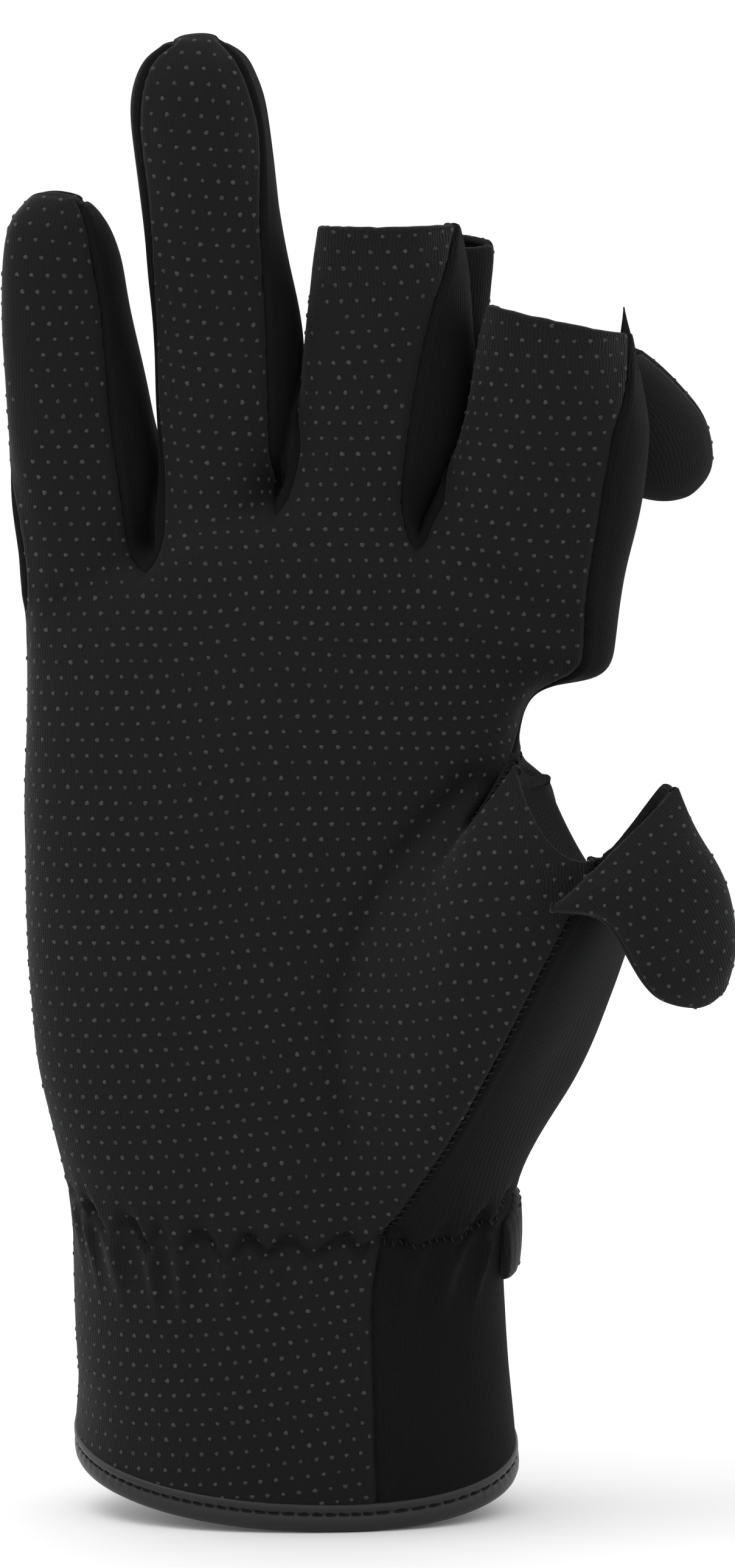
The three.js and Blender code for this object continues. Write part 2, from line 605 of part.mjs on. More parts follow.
function smoothCorners(times) {
  const near = corners.map(() => new Set());
  allFaces().forEach((face) => face.forEach((corner, i) => {
    near[corner].add(face[(i + 1) % 4]);
    near[corner].add(face[(i + 3) % 4]);
  }));
  for (let n = 0; n < times; n += 1) {
    const moved = corners.map((p, i) => {
      if (!softness[i] || near[i].size < 3) return p.clone();
      const middle = new THREE.Vector3();
      near[i].forEach((j) => middle.add(corners[j]));
      return p.clone().lerp(middle.divideScalar(near[i].size), softness[i]);
    });
    moved.forEach((p, i) => corners[i].copy(p));
  }
}

function cornerNormals(faces) {
  const normals = corners.map(() => new THREE.Vector3());
  faces.forEach((face) => {
    const [a, b, c, d] = face.map((i) => corners[i]);
    const n = c.clone().sub(a).cross(d.clone().sub(b));
    face.forEach((i) => normals[i].add(n));
  });
  return normals.map((n) => n.normalize());
}

smoothCorners(3);

// Gathers at the wrist and folds at the finger joints push corners in and out
let normals = cornerNormals(allFaces());
hand.forEach((ring, row) => ring.forEach((corner, c) => {
  if (corner < 0) return;
  const groove = -gatherDepth * Math.exp(-(((row - gatherRow) / 0.7) ** 2));
  const near = Math.exp(-(((row - gatherRow - 0.3) / 1.3) ** 2));
  const pucker = (c % 2 ? 1 : -1) * puckerHeight * near * (row === 0 ? 0 : 1);
  corners[corner].addScaledVector(normals[corner], groove + pucker);
}));
normals = cornerNormals(allFaces());

// A closed solid from the faces of one panel: outer side, inner side and edges
function shell(faces, directions, thickness, gap) {
  const edges = new Map();
  faces.forEach((face) => face.forEach((a, i) => {
    const b = face[(i + 1) % 4];
    edges.set(`${a},${b}`, [a, b]);
  }));
  const rim = [...edges.values()].filter(([a, b]) => !edges.has(`${b},${a}`));
  const inward = new Map();
  rim.forEach(([a, b]) => {
    const along = corners[b].clone().sub(corners[a]).normalize();
    [a, b].forEach((corner) => {
      const side = directions[corner].clone().cross(along).normalize();
      if (!inward.has(corner)) inward.set(corner, new THREE.Vector3());
      inward.get(corner).add(side);
    });
  });
  const place = new Map();
  const points = [];
  faces.flat().forEach((corner) => {
    if (place.has(corner)) return;
    const p = corners[corner].clone();
    if (inward.has(corner)) {
      const side = inward.get(corner);
      const length = Math.max(0.05, side.length());
      const reach = length > 1 ? 2 / length : Math.min(2.6 / length, 4);
      p.addScaledVector(side, (reach * gap * (tight.has(corner) ? 2.2 : 1)) / length);
    }
    place.set(corner, points.length);
    const depth = thickness * (tight.has(corner) ? 0.75 : 1);
    points.push(p, p.clone().addScaledVector(directions[corner], -depth));
  });
  const triangles = [];
  const quad = (a, b, c, d) => triangles.push(a, b, c, a, c, d);
  faces.forEach((face) => {
    const [a, b, c, d] = face.map((corner) => place.get(corner));
    quad(a, b, c, d);
    quad(a + 1, d + 1, c + 1, b + 1);
  });
  rim.forEach(([a, b]) => {
    const i = place.get(a);
    const j = place.get(b);
    quad(i, i + 1, j + 1, j);
  });
  return solid(points, triangles);
}

function solid(points, triangles) {
  const geometry = new THREE.BufferGeometry();
  const places = points.flatMap((p) => [p.x, p.y, p.z]);
  geometry.setAttribute("position", new THREE.Float32BufferAttribute(places, 3));
  geometry.setIndex(triangles);
  geometry.computeVertexNormals();
  return geometry;
}

// A closed solid swept round a ring or along a path: each section is a loop of points
function sweep(sections, closed) {
  const count = sections[0].length;
  const points = sections.flat();
  const triangles = [];
  const steps = closed ? sections.length : sections.length - 1;
  for (let s = 0; s < steps; s += 1) {
    const next = (s + 1) % sections.length;
    for (let i = 0; i < count; i += 1) {
      const j = (i + 1) % count;
      const [a, b, c, d] = [s * count + i, s * count + j, next * count + j, next * count + i];
      triangles.push(a, b, c, a, c, d);
    }
  }
  if (!closed) {
    const end = (sections.length - 1) * count;
    for (let i = 1; i < count - 1; i += 1) {
      triangles.push(0, i + 1, i);
      triangles.push(end, end + i, end + i + 1);
    }
  }
  return solid(points, triangles);
}

const model = new THREE.Group();
model.name = "fishing_glove";
const fabric = new THREE.MeshStandardMaterial({ name: "plain_fabric", color: 0x1c1d20, roughness: 0.9 });
const grip = new THREE.MeshStandardMaterial({ name: "grip_fabric", color: 0x2b2c2f, roughness: 0.85 });
const binding = new THREE.MeshStandardMaterial({ name: "binding", color: 0x303134, roughness: 0.6 });

function add(name, geometry, material) {
  const mesh = new THREE.Mesh(geometry, material);
  mesh.name = name;
  model.add(mesh);
}

// Panels of the hand, fingers and thumb
Object.entries(panels).forEach(([name, faces]) => {
  const material = name === "palm_panel" ? grip : fabric;
  add(name, shell(faces, normals, wallThickness, seamGap / 2), material);
});

// Hem binding: a rounded band round the lower edge
// Columns: outward as a share of hemSwell, inward as a share of the wall, up as a share of hemHeight
const bindingProfile = [
  [0.2, 0, 0], [0.9, 0, 0.18], [1.0, 0, 0.55], [0.5, 0, 0.9], [0.1, 0, 1],
  [-0.1, 1, 1], [-0.7, 1, 0.85], [-0.9, 1, 0.5], [-0.7, 1, 0.18], [-0.2, 1, 0],
];
const bindingSections = hand[0].map((corner, c) => {
  const low = corners[corner];
  const high = corners[hand[1][c]];
  const upward = high.clone().sub(low);
  const trimmed = upward.length() - seamGap / 2;
  upward.normalize();
  return bindingProfile.map(([out, inward, up]) => low.clone()
    .addScaledVector(normals[corner], out * hemSwell - inward * wallThickness)
    .addScaledVector(upward, up * trimmed));
});
add("hem_binding", sweep(bindingSections.reverse(), true), binding);

// Strap over the back of the wrist, following the back of the hand at the gather
function handPoint(row, c, outward) {
  const r = Math.floor(row);
  const k = Math.floor(c);
  const t = row - r;
  const u = c - k;
  const p = new THREE.Vector3();
  const n = new THREE.Vector3();
  [[0, 0], [0, 1], [1, 0], [1, 1]].forEach(([i, j]) => {
    const corner = hand[r + i][(k + j) % columnCount];
    const weight = (i ? t : 1 - t) * (j ? u : 1 - u);
    p.addScaledVector(corners[corner], weight);
    n.addScaledVector(normals[corner], weight);
  });
  return p.addScaledVector(n.normalize(), outward);
}

// Columns: along the height of the strap, outward, both as shares of half its height and its thickness
const strapProfile = [
  [-1, 0.25], [-0.86, 0.8], [-0.5, 1], [0, 1.08], [0.5, 1],
  [0.86, 0.8], [1, 0.25], [0.7, 0], [0, 0], [-0.7, 0],
];
const strapSections = [];
const strapFirst = 18.2;
const strapLast = 33;
const strapSteps = 30;
const strapRow = 6;
const strapRowHeight = (gatherLeftUp - hemLeftUp - hemHeight) / (gatherRow - 1);
for (let s = 0; s <= strapSteps; s += 1) {
  const share = s / strapSteps;
  const column = mix(strapFirst, strapLast, share);
  const fromEnd = Math.min(1, Math.min(share, 1 - share) * 9 + 0.12);
  const round = Math.sqrt(1 - (1 - fromEnd) ** 2);
  const half = (strapHeight / 2) * mix(0.55, 1, round) / strapRowHeight;
  strapSections.push(strapProfile.map(([up, out]) => handPoint(
    strapRow + up * half, column, strapClearance + out * strapThickness * mix(0.35, 1, round))));
}
add("wrist_strap", sweep(strapSections.reverse(), false), fabric);

// Folded caps: flat pouches from an open mouth to a closed tip, each of a grip half and a plain half
function addCap(name, table, gripSide, plane, depth) {
  const rows = table.map((r) => {
    const one = new THREE.Vector3(r[0] * palmWidth, plane + r[2] * depth, r[1] * gloveHeight);
    const other = new THREE.Vector3(r[3] * palmWidth, plane + r[5] * depth, r[4] * gloveHeight);
    const middle = one.clone().add(other).divideScalar(2);
    return { middle, half: other.sub(one).divideScalar(2), thick: r[6] * fingerDepth };
  });
  const firstPanel = Object.keys(panels).length;
  const rings = rows.map((row, k) => {
    const after = rows[Math.min(rows.length - 1, k + 1)].middle;
    const before = rows[Math.max(0, k - 1)].middle;
    const tangent = after.clone().sub(before).normalize();
    const outward = row.half.clone().cross(tangent).normalize().multiplyScalar(gripSide * row.thick);
    const side = row.half.clone().multiplyScalar(gripSide);
    const ring = [];
    for (let i = 0; i < 16; i += 1) {
      const angle = (135 - 22.5 * i) * degree;
      const c = Math.cos(angle);
      const s = Math.sin(angle);
      const p = row.middle.clone()
        .addScaledVector(side, Math.sign(c) * Math.abs(c) ** 0.85)
        .addScaledVector(outward, Math.sign(s) * Math.abs(s) ** 0.85);
      ring.push(addCorner(p));
    }
    return ring;
  });
  const half = (i) => (i < 6 || i >= 14 ? `${name}_grip` : `${name}_back`);
  for (let k = 0; k < rings.length - 1; k += 1) {
    for (let i = 0; i < 16; i += 1) {
      const next = (i + 1) % 16;
      addFace(half(i), [rings[k][i], rings[k][next], rings[k + 1][next], rings[k + 1][i]]);
    }
  }
  const lastRow = rows[rows.length - 1];
  const tipRise = lastRow.middle.clone().sub(rows[rows.length - 2].middle).normalize().multiplyScalar(1.6);
  closeTip(rings[rings.length - 1], tipRise, (i) => (i < 2 ? `${name}_grip` : `${name}_back`));
  return Object.keys(panels).slice(firstPanel);
}

const capNames = [
  ...addCap("middle_cap", middleCap, 1, fingerPlane, fingerDepth),
  ...addCap("index_cap", indexCap, 1, fingerPlane, fingerDepth),
  ...addCap("thumb_cap", thumbCap, -1, 0, palmDepth),
];
const capNormals = cornerNormals(capNames.flatMap((name) => panels[name]));
capNames.forEach((name) => {
  add(name, shell(panels[name], capNormals, capWall, seamGap / 2), name.endsWith("_grip") ? grip : fabric);
});

export default model;
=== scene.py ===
import bpy
import math
import numpy as np
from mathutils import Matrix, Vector, noise
from mathutils.kdtree import KDTree


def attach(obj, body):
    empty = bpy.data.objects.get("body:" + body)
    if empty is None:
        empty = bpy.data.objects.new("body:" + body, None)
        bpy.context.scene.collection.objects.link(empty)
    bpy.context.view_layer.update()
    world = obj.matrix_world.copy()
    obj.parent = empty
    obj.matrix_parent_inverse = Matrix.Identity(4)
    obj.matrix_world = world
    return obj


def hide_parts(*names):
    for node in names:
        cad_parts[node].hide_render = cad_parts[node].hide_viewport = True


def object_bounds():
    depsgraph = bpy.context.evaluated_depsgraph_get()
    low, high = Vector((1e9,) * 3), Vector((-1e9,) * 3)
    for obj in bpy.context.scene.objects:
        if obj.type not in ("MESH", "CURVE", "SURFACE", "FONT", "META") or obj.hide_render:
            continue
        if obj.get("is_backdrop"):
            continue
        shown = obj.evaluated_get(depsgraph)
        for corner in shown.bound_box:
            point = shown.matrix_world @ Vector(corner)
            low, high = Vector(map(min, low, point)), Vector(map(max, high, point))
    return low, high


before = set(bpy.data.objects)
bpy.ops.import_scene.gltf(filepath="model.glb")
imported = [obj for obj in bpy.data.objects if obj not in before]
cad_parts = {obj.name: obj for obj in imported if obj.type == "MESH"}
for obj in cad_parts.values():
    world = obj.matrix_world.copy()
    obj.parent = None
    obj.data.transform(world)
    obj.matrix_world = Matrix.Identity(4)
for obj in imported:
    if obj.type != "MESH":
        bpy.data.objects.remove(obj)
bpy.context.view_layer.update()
mm = 0.001
degree = math.pi / 180
print("frame loaded")

# Camera at the photograph's place, level with the palm and a little above it
viewpoint = {"aim": (0.0111, -0.015, 0.10955), "elevation": 8.0, "distance": 3.0, "frameHeight": 0.2447}


def makeCamera(v):
    data = bpy.data.cameras.new("camera")
    data.sensor_width = 36.0
    data.lens = 36.0 * v["distance"] / v["frameHeight"]
    data.clip_start, data.clip_end = 0.05, 50.0
    camera = bpy.data.objects.new("camera", data)
    bpy.context.scene.collection.objects.link(camera)
    back = Vector((0, -math.cos(v["elevation"] * degree), math.sin(v["elevation"] * degree)))
    camera.location = Vector(v["aim"]) + back * v["distance"]
    camera.rotation_euler = (-back).to_track_quat("-Z", "Y").to_euler()
    bpy.context.scene.camera = camera


makeCamera(viewpoint)

# Studio: a white surround, a pale floor and soft lamps
studio = {
    "surround": 1.24,
    "floorTone": 0.8,
    "floorSize": 16.0,
    "lamps": [  # name, place, aim, width, watts
        ("topLamp", (-0.35, -0.25, 0.85), (0.0, 0.0, 0.12), 0.5, 2.2),
        ("rightLamp", (0.75, 0.15, 0.35), (0.02, 0.0, 0.12), 0.4, 0.3),
        ("leftLamp", (-0.75, 0.1, 0.3), (-0.02, 0.0, 0.12), 0.4, 0.9),
    ],
}


def makeLamps(s):
    for name, place, aim, width, watts in s["lamps"]:
        data = bpy.data.lights.new(name, "AREA")
        data.size = width
        data.energy = watts
        lamp = bpy.data.objects.new(name, data)
        bpy.context.scene.collection.objects.link(lamp)
        lamp.location = place
        lamp.rotation_euler = (Vector(aim) - Vector(place)).to_track_quat("-Z", "Y").to_euler()
    world = bpy.data.worlds.new("surround")
    world.use_nodes = True
    world.node_tree.nodes["Background"].inputs["Color"].default_value = (1, 1, 1, 1)
    world.node_tree.nodes["Background"].inputs["Strength"].default_value = s["surround"]
    bpy.context.scene.world = world
    bpy.context.scene.view_settings.view_transform = "Standard"


makeLamps(studio)

# Named sizes of the glove, in mm
glove = {
    "height": 240.0,
    "palmWidth": 91.2,
    "palmDepth": 34.0,
    "fingerDepth": 18.0,
    "wall": 1.7,
    "capWall": 1.2,
    "capTipRise": 1.6,
    "hemHeight": 4.4,
    "webRise": 2.2,
    "rimDrop": 2.2,
    "fingerTurn": 0.17,
    "fingerSquare": 2.35,
    "sideFill": 1.4,
}

# Left edge of the glove from hem to fingers
# Columns: up as a share of the glove's height, across as a share of the palm's width
leftOutline = [
    (0.0075, -0.3792), (0.0241, -0.3813), (0.0449, -0.3771), (0.0656, -0.3781),
    (0.0864, -0.3823), (0.1279, -0.3833), (0.1529, -0.3844), (0.1736, -0.3854),
    (0.1913, -0.3896), (0.2113, -0.4062), (0.2312, -0.4208), (0.2512, -0.4323),
    (0.2712, -0.4427), (0.2912, -0.45), (0.3112, -0.4552), (0.3512, -0.4615),
    (0.3911, -0.4635), (0.4311, -0.4656), (0.4711, -0.4646), (0.5111, -0.4615),
    (0.531, -0.4604), (0.551, -0.4625), (0.579, -0.4656),
]

# Right edge of the glove under the thumb, from hem to fingers
# Columns: up as a share of the glove's height, across as a share of the palm's width
rightOutline = [
    (-0.0075, 0.3802), (0.0241, 0.376), (0.0449, 0.3708), (0.0656, 0.3667),
    (0.0864, 0.3635), (0.1072, 0.3604), (0.1279, 0.3563), (0.1487, 0.3583),
    (0.1695, 0.3604), (0.1913, 0.3677), (0.2113, 0.401), (0.2312, 0.4219),
    (0.2592, 0.4302), (0.2912, 0.4302), (0.3312, 0.4198), (0.3711, 0.4094),
    (0.4111, 0.3969), (0.4511, 0.3865), (0.4711, 0.3813), (0.4871, 0.3906),
    (0.5051, 0.4427), (0.5182, 0.524), (0.5318, 0.551), (0.551, 0.549),
]

# Cuff seam and the valley beside the ball of the thumb
# Columns: up as a share of the glove's height, across as a share of the palm's width
creaseLine = [
    (-0.0192, 0.1396), (0.0607, 0.1302), (0.1207, 0.1271), (0.1487, 0.1323),
    (0.1647, 0.1385), (0.1966, 0.1177), (0.2286, 0.0917), (0.2606, 0.0792),
    (0.2978, 0.074), (0.3325, 0.0833), (0.3601, 0.101), (0.3845, 0.1281),
    (0.4121, 0.1729), (0.4453, 0.2458), (0.4757, 0.326), (0.5084, 0.3781),
    (0.5404, 0.3865), (0.5804, 0.3781), (0.6204, 0.3656),
]

# Line where the fingers begin
# Columns: across as a share of the palm's width, up as a share of the glove's height
webLine = [
    (-0.4656, 0.567), (-0.2469, 0.6022), (-0.0385, 0.6398), (0.2, 0.6158), (0.5469, 0.547),
]

# Thickness of the cuff and palm by grid row, depths as shares of the palm's depth, lean in degrees
# Columns: grid row, middle depth, half depth, lean, squareness
bodyRows = [
    (0, 0.0, 0.735, 18, 2.1),
    (4, -0.206, 0.647, 20, 2.2),
    (7, -0.353, 0.565, 24, 2.3),
    (9, -0.397, 0.529, 0, 2.4),
    (12, -0.426, 0.518, 0, 2.5),
    (16, -0.441, 0.485, 0, 2.6),
    (19, -0.441, 0.429, 0, 2.7),
    (21, -0.441, 0.371, 0, 2.8),
]

# Little finger: up as a share of the glove's height, edges and seams of the palm's width,
# middle depth of the palm's depth, half depth of the finger's depth
# Columns: up, left edge, right edge, left seam, right seam, middle depth, half depth
littleFinger = [
    (0.5674, -0.4656, -0.25, -0.4656, -0.2615, -0.429, 0.667),
    (0.5951, -0.4708, -0.25, -0.4708, -0.276, -0.418, 0.589),
    (0.621, -0.476, -0.2458, -0.476, -0.2865, -0.412, 0.533),
    (0.643, -0.4813, -0.2396, -0.4813, -0.2937, -0.412, 0.511),
    (0.6703, -0.4865, -0.2354, -0.4865, -0.3031, -0.418, 0.5),
    (0.6912, -0.4906, -0.2437, -0.4906, -0.3115, -0.426, 0.494),
    (0.7317, -0.4969, -0.2646, -0.4969, -0.3219, -0.453, 0.489),
    (0.7724, -0.501, -0.2865, -0.501, -0.3323, -0.488, 0.478),
    (0.7968, -0.499, -0.2969, -0.499, -0.3427, -0.512, 0.456),
    (0.8152, -0.4938, -0.3115, -0.4938, -0.351, -0.529, 0.411),
    (0.8295, -0.4802, -0.3323, -0.4802, -0.3594, -0.547, 0.333),
    (0.8398, -0.4573, -0.3594, -0.4573, -0.3719, -0.559, 0.211),
]

# Ring finger
# Columns: up, left edge, right edge, left seam, right seam, middle depth, half depth
ringFinger = [
    (0.6116, -0.2427, -0.0427, -0.2344, -0.0448, -0.441, 0.7),
    (0.6356, -0.2375, -0.0396, -0.2323, -0.0448, -0.441, 0.611),
    (0.6597, -0.2302, -0.024, -0.2323, -0.0438, -0.447, 0.556),
    (0.6919, -0.2333, -0.0052, -0.2406, -0.0458, -0.459, 0.528),
    (0.7242, -0.2344, 0.0042, -0.2448, -0.0479, -0.476, 0.517),
    (0.7565, -0.2406, 0.0063, -0.2469, -0.05, -0.494, 0.511),
    (0.7889, -0.2479, -0.0094, -0.25, -0.0552, -0.512, 0.506),
    (0.8212, -0.2573, -0.025, -0.2531, -0.0604, -0.529, 0.5),
    (0.8535, -0.2667, -0.0375, -0.2594, -0.0625, -0.547, 0.489),
    (0.8858, -0.2771, -0.049, -0.2698, -0.0667, -0.565, 0.472),
    (0.9061, -0.2792, -0.0573, -0.2687, -0.0771, -0.576, 0.444),
    (0.9223, -0.2687, -0.0719, -0.2594, -0.0906, -0.588, 0.389),
    (0.9352, -0.2479, -0.0917, -0.2406, -0.1073, -0.594, 0.3),
    (0.9441, -0.2115, -0.126, -0.2073, -0.1323, -0.6, 0.189),
]

# Middle finger up to its open rim
# Columns: up, left edge, right edge, left seam, right seam, middle depth, half depth
middleFinger = [
    (0.6117, -0.0344, 0.1969, -0.0365, 0.1844, -0.447, 0.7),
    (0.6359, -0.0302, 0.2292, -0.0323, 0.1802, -0.459, 0.633),
    (0.6634, -0.0125, 0.2656, -0.0094, 0.1844, -0.476, 0.578),
    (0.6966, 0.0031, 0.2885, 0.0073, 0.1969, -0.494, 0.556),
    (0.7382, 0.0125, 0.3, 0.0167, 0.2146, -0.518, 0.544),
    (0.7733, 0.0219, 0.2969, 0.025, 0.2344, -0.535, 0.533),
    (0.8041, 0.0281, 0.2896, 0.0302, 0.2573, -0.553, 0.528),
    (0.8243, 0.0354, 0.2771, 0.0375, 0.2615, -0.565, 0.522),
]

# Index finger up to its open rim
# Columns: up, left edge, right edge, left seam, right seam, middle depth, half depth
indexFinger = [
    (0.5477, 0.2115, 0.549, 0.2115, 0.4896, -0.447, 0.7),
    (0.5719, 0.2094, 0.5531, 0.2115, 0.4969, -0.459, 0.667),
    (0.5963, 0.2052, 0.5635, 0.2115, 0.5052, -0.476, 0.633),
    (0.6219, 0.2094, 0.5771, 0.2115, 0.5135, -0.5, 0.6),
    (0.6504, 0.2417, 0.5917, 0.2448, 0.525, -0.524, 0.583),
    (0.6884, 0.2792, 0.601, 0.2792, 0.5406, -0.547, 0.567),
    (0.718, 0.2969, 0.5927, 0.2958, 0.5573, -0.565, 0.556),
    (0.7463, 0.3104, 0.5781, 0.3125, 0.5594, -0.582, 0.55),
    (0.7637, 0.3229, 0.5719, 0.324, 0.5552, -0.594, 0.544),
]

# Thumb, a row per ring from the palm to the rim: four points each,
# on the inner, front, outer and back side
# Columns: across, up, depth, for each of the four points
thumbRings = [
    (0.3677, 0.456, -0.618, 0.1885, 0.297, -1.147, 0.4177, 0.2447, -0.647, 0.4562, 0.3407, -0.088),
    (0.3615, 0.4629, -0.706, 0.2719, 0.3322, -1.265, 0.4823, 0.3011, -0.706, 0.4927, 0.3705, -0.176),
    (0.3594, 0.4693, -0.765, 0.3448, 0.3647, -1.294, 0.5406, 0.3542, -0.765, 0.5188, 0.3882, -0.265),
    (0.3604, 0.4759, -0.794, 0.4146, 0.3941, -1.265, 0.5969, 0.4067, -0.794, 0.5177, 0.3908, -0.397),
    (0.3635, 0.4833, -0.824, 0.4771, 0.4199, -1.176, 0.6427, 0.4603, -0.794, 0.499, 0.3933, -0.559),
]

# Folded cap of the middle finger, a row per section from its mouth to its tip;
# deep is behind fingerPlane, as a share of the finger's depth
# Columns: one edge across, up and deep, other edge across, up and deep, half thickness
middleCap = [
    (0.0635, 0.8085, 0.761, 0.3323, 0.8053, 0.761, 0.233),
    (0.0594, 0.7978, 0.788, 0.3385, 0.7978, 0.788, 0.256),
    (0.0615, 0.7693, 0.833, 0.3323, 0.7693, 0.833, 0.278),
    (0.0677, 0.7378, 0.866, 0.325, 0.7378, 0.866, 0.278),
    (0.0802, 0.708, 0.888, 0.3115, 0.708, 0.888, 0.267),
    (0.1073, 0.6839, 0.899, 0.2823, 0.6839, 0.899, 0.222),
    (0.1437, 0.6699, 0.899, 0.2406, 0.6699, 0.899, 0.144),
]

# Folded cap of the index finger
# Columns: one edge across, up and deep, other edge across, up and deep, half thickness
indexCap = [
    (0.3448, 0.7504, 0.738, 0.5948, 0.7328, 0.738, 0.233),
    (0.3594, 0.734, 0.772, 0.6281, 0.722, 0.772, 0.256),
    (0.3885, 0.715, 0.827, 0.6604, 0.7086, 0.827, 0.278),
    (0.4219, 0.6986, 0.866, 0.6885, 0.6958, 0.866, 0.278),
    (0.4573, 0.6823, 0.899, 0.7052, 0.6831, 0.899, 0.278),
    (0.4906, 0.6661, 0.922, 0.7135, 0.6669, 0.922, 0.267),
    (0.5281, 0.6516, 0.933, 0.7073, 0.6524, 0.933, 0.222),
    (0.5719, 0.6404, 0.933, 0.6844, 0.6412, 0.933, 0.144),
]

# Folded cap of the thumb; deep is a share of the palm's depth
# Columns: one edge across, up and deep, other edge across, up and deep, half thickness
thumbCap = [
    (0.4354, 0.3913, -1.385, 0.651, 0.4658, -1.071, 0.167),
    (0.4771, 0.3904, -1.379, 0.6698, 0.4466, -1.091, 0.222),
    (0.5219, 0.3848, -1.338, 0.6927, 0.4293, -1.085, 0.25),
    (0.5552, 0.3679, -1.291, 0.724, 0.4082, -1.071, 0.267),
    (0.5844, 0.3465, -1.221, 0.7406, 0.38, -1.015, 0.256),
    (0.6198, 0.3301, -1.162, 0.7427, 0.3581, -1.0, 0.211),
    (0.6615, 0.3244, -1.118, 0.7302, 0.3381, -1.0, 0.133),
]

# The cage: one grid of soft corners from hem to fingertips, in mm
grid = {
    "columns": 40,
    "topRow": 21,
    "gatherRow": 7,
    "crotchRow": 17,
    "seamColumn": 14,
    "cornerColumn": 16,
    "backColumn": 22,
    "thumbRows": 10,
}
corners, softness, pull, cells = [], [], [], []
panelNames = [
    "palm_panel", "back_panel", "side_panel_little_ring", "side_panel_ring_middle",
    "side_panel_middle_index", "thumb_back", "middle_cap_grip", "middle_cap_back",
    "index_cap_grip", "index_cap_back", "thumb_cap_grip", "thumb_cap_back", "hem",
]


def mix(a, b, t):
    return a + (b - a) * t


def smooth(t):
    s = min(1.0, max(0.0, t))
    return s * s * (3 - 2 * s)


# Smooth curve through a table: column 0 is the place, another column the value
def lookup(table, at, column):
    last = len(table) - 1
    places = [row[0] for row in table]
    values = [row[column] for row in table]
    if at <= places[0]:
        return values[0]
    if at >= places[last]:
        return values[last]
    i = 0
    while at > places[i + 1]:
        i += 1
    slopes = [(values[j + 1] - values[j]) / (places[j + 1] - places[j]) for j in range(last)]

    def tangent(j):
        if j == 0 or j == last:
            return slopes[0 if j == 0 else last - 1]
        before, after = slopes[j - 1], slopes[j]
        return 0.0 if before * after <= 0 else 2 * before * after / (before + after)

    span = places[i + 1] - places[i]
    t = (at - places[i]) / span
    t2, t3 = t * t, t * t * t
    return ((2 * t3 - 3 * t2 + 1) * values[i] + (t3 - 2 * t2 + t) * span * tangent(i)
            + (3 * t2 - 2 * t3) * values[i + 1] + (t3 - t2) * span * tangent(i + 1))


def powered(value, power):
    return math.copysign(abs(value) ** power, value)


# Rounded oval: angle 0 is the left edge, 90 the front, 180 the right edge, 270 the back
def oval(section, angle):
    power = 2 / section["square"]
    across = -powered(math.cos(angle * degree), power)
    depth = -powered(math.sin(angle * degree), power)
    lean = section["lean"] * degree
    half = (section["right"] - section["left"]) / 2
    x = (section["left"] + section["right"]) / 2 + across * half + section["turn"] * depth * section["half"]
    y = section["middle"] + depth * section["half"] * math.cos(lean)
    return x, y, depth * section["half"] * math.sin(lean)


def frontAngle(section, x):
    straight = x + 0.85 * section["turn"] * section["half"]
    half = (section["right"] - section["left"]) / 2
    share = min(1.0, max(-1.0, (straight - (section["left"] + section["right"]) / 2) / half))
    return math.acos(-powered(share, section["square"] / 2)) / degree


hemUps = (0.0075 * glove["height"], -0.005 * glove["height"])
gatherUps = (0.193 * glove["height"], 0.188 * glove["height"])


def cuffShare(row):
    first = glove["hemHeight"] / (gatherUps[0] - hemUps[0])
    return row * first if row <= 1 else mix(first, 1, (row - 1) / (grid["gatherRow"] - 1))


def webUp(x):
    return lookup(webLine, x / glove["palmWidth"], 1) * glove["height"]


# 0 below the thumb's opening, 1 where the fingers begin
def topBlend(row):
    return smooth((row - grid["crotchRow"]) / (grid["topRow"] - grid["crotchRow"]))


def rowSection(row):
    share = cuffShare(row) if row <= grid["gatherRow"] else 1.0
    palm = max(0.0, (row - grid["gatherRow"]) / (grid["topRow"] - grid["gatherRow"]))
    leftUp = mix(mix(hemUps[0], gatherUps[0], share), webLine[0][1] * glove["height"], palm)
    rightUp = mix(mix(hemUps[1], gatherUps[1], share), webLine[4][1] * glove["height"], palm)
    return {
        "left": lookup(leftOutline, leftUp / glove["height"], 1) * glove["palmWidth"],
        "right": lookup(rightOutline, rightUp / glove["height"], 1) * glove["palmWidth"],
        "middle": lookup(bodyRows, row, 1) * glove["palmDepth"],
        "half": lookup(bodyRows, row, 2) * glove["palmDepth"],
        "lean": lookup(bodyRows, row, 3) if row <= grid["gatherRow"] else 0.0,
        "square": lookup(bodyRows, row, 4),
        "turn": glove["fingerTurn"] * topBlend(row),
        "share": share,
        "palm": palm,
    }


def rowPoint(section, angle):
    x, y, drop = oval(section, angle)
    across = (x - section["left"]) / (section["right"] - section["left"])
    if section["palm"] > 0:
        lean = bodyRows[2][3] * degree
        drop = -math.sin(angle * degree) * bodyRows[2][2] * glove["palmDepth"] * math.sin(lean)
    low = mix(mix(*hemUps, across), mix(*gatherUps, across), section["share"]) + drop
    return Vector((x, y, mix(low, webUp(x), section["palm"])))


def straight(keys, at):
    i = 0
    while i < len(keys) - 2 and at > keys[i + 1][0]:
        i += 1
    return mix(keys[i][1], keys[i + 1][1], (at - keys[i][0]) / (keys[i + 1][0] - keys[i][0]))


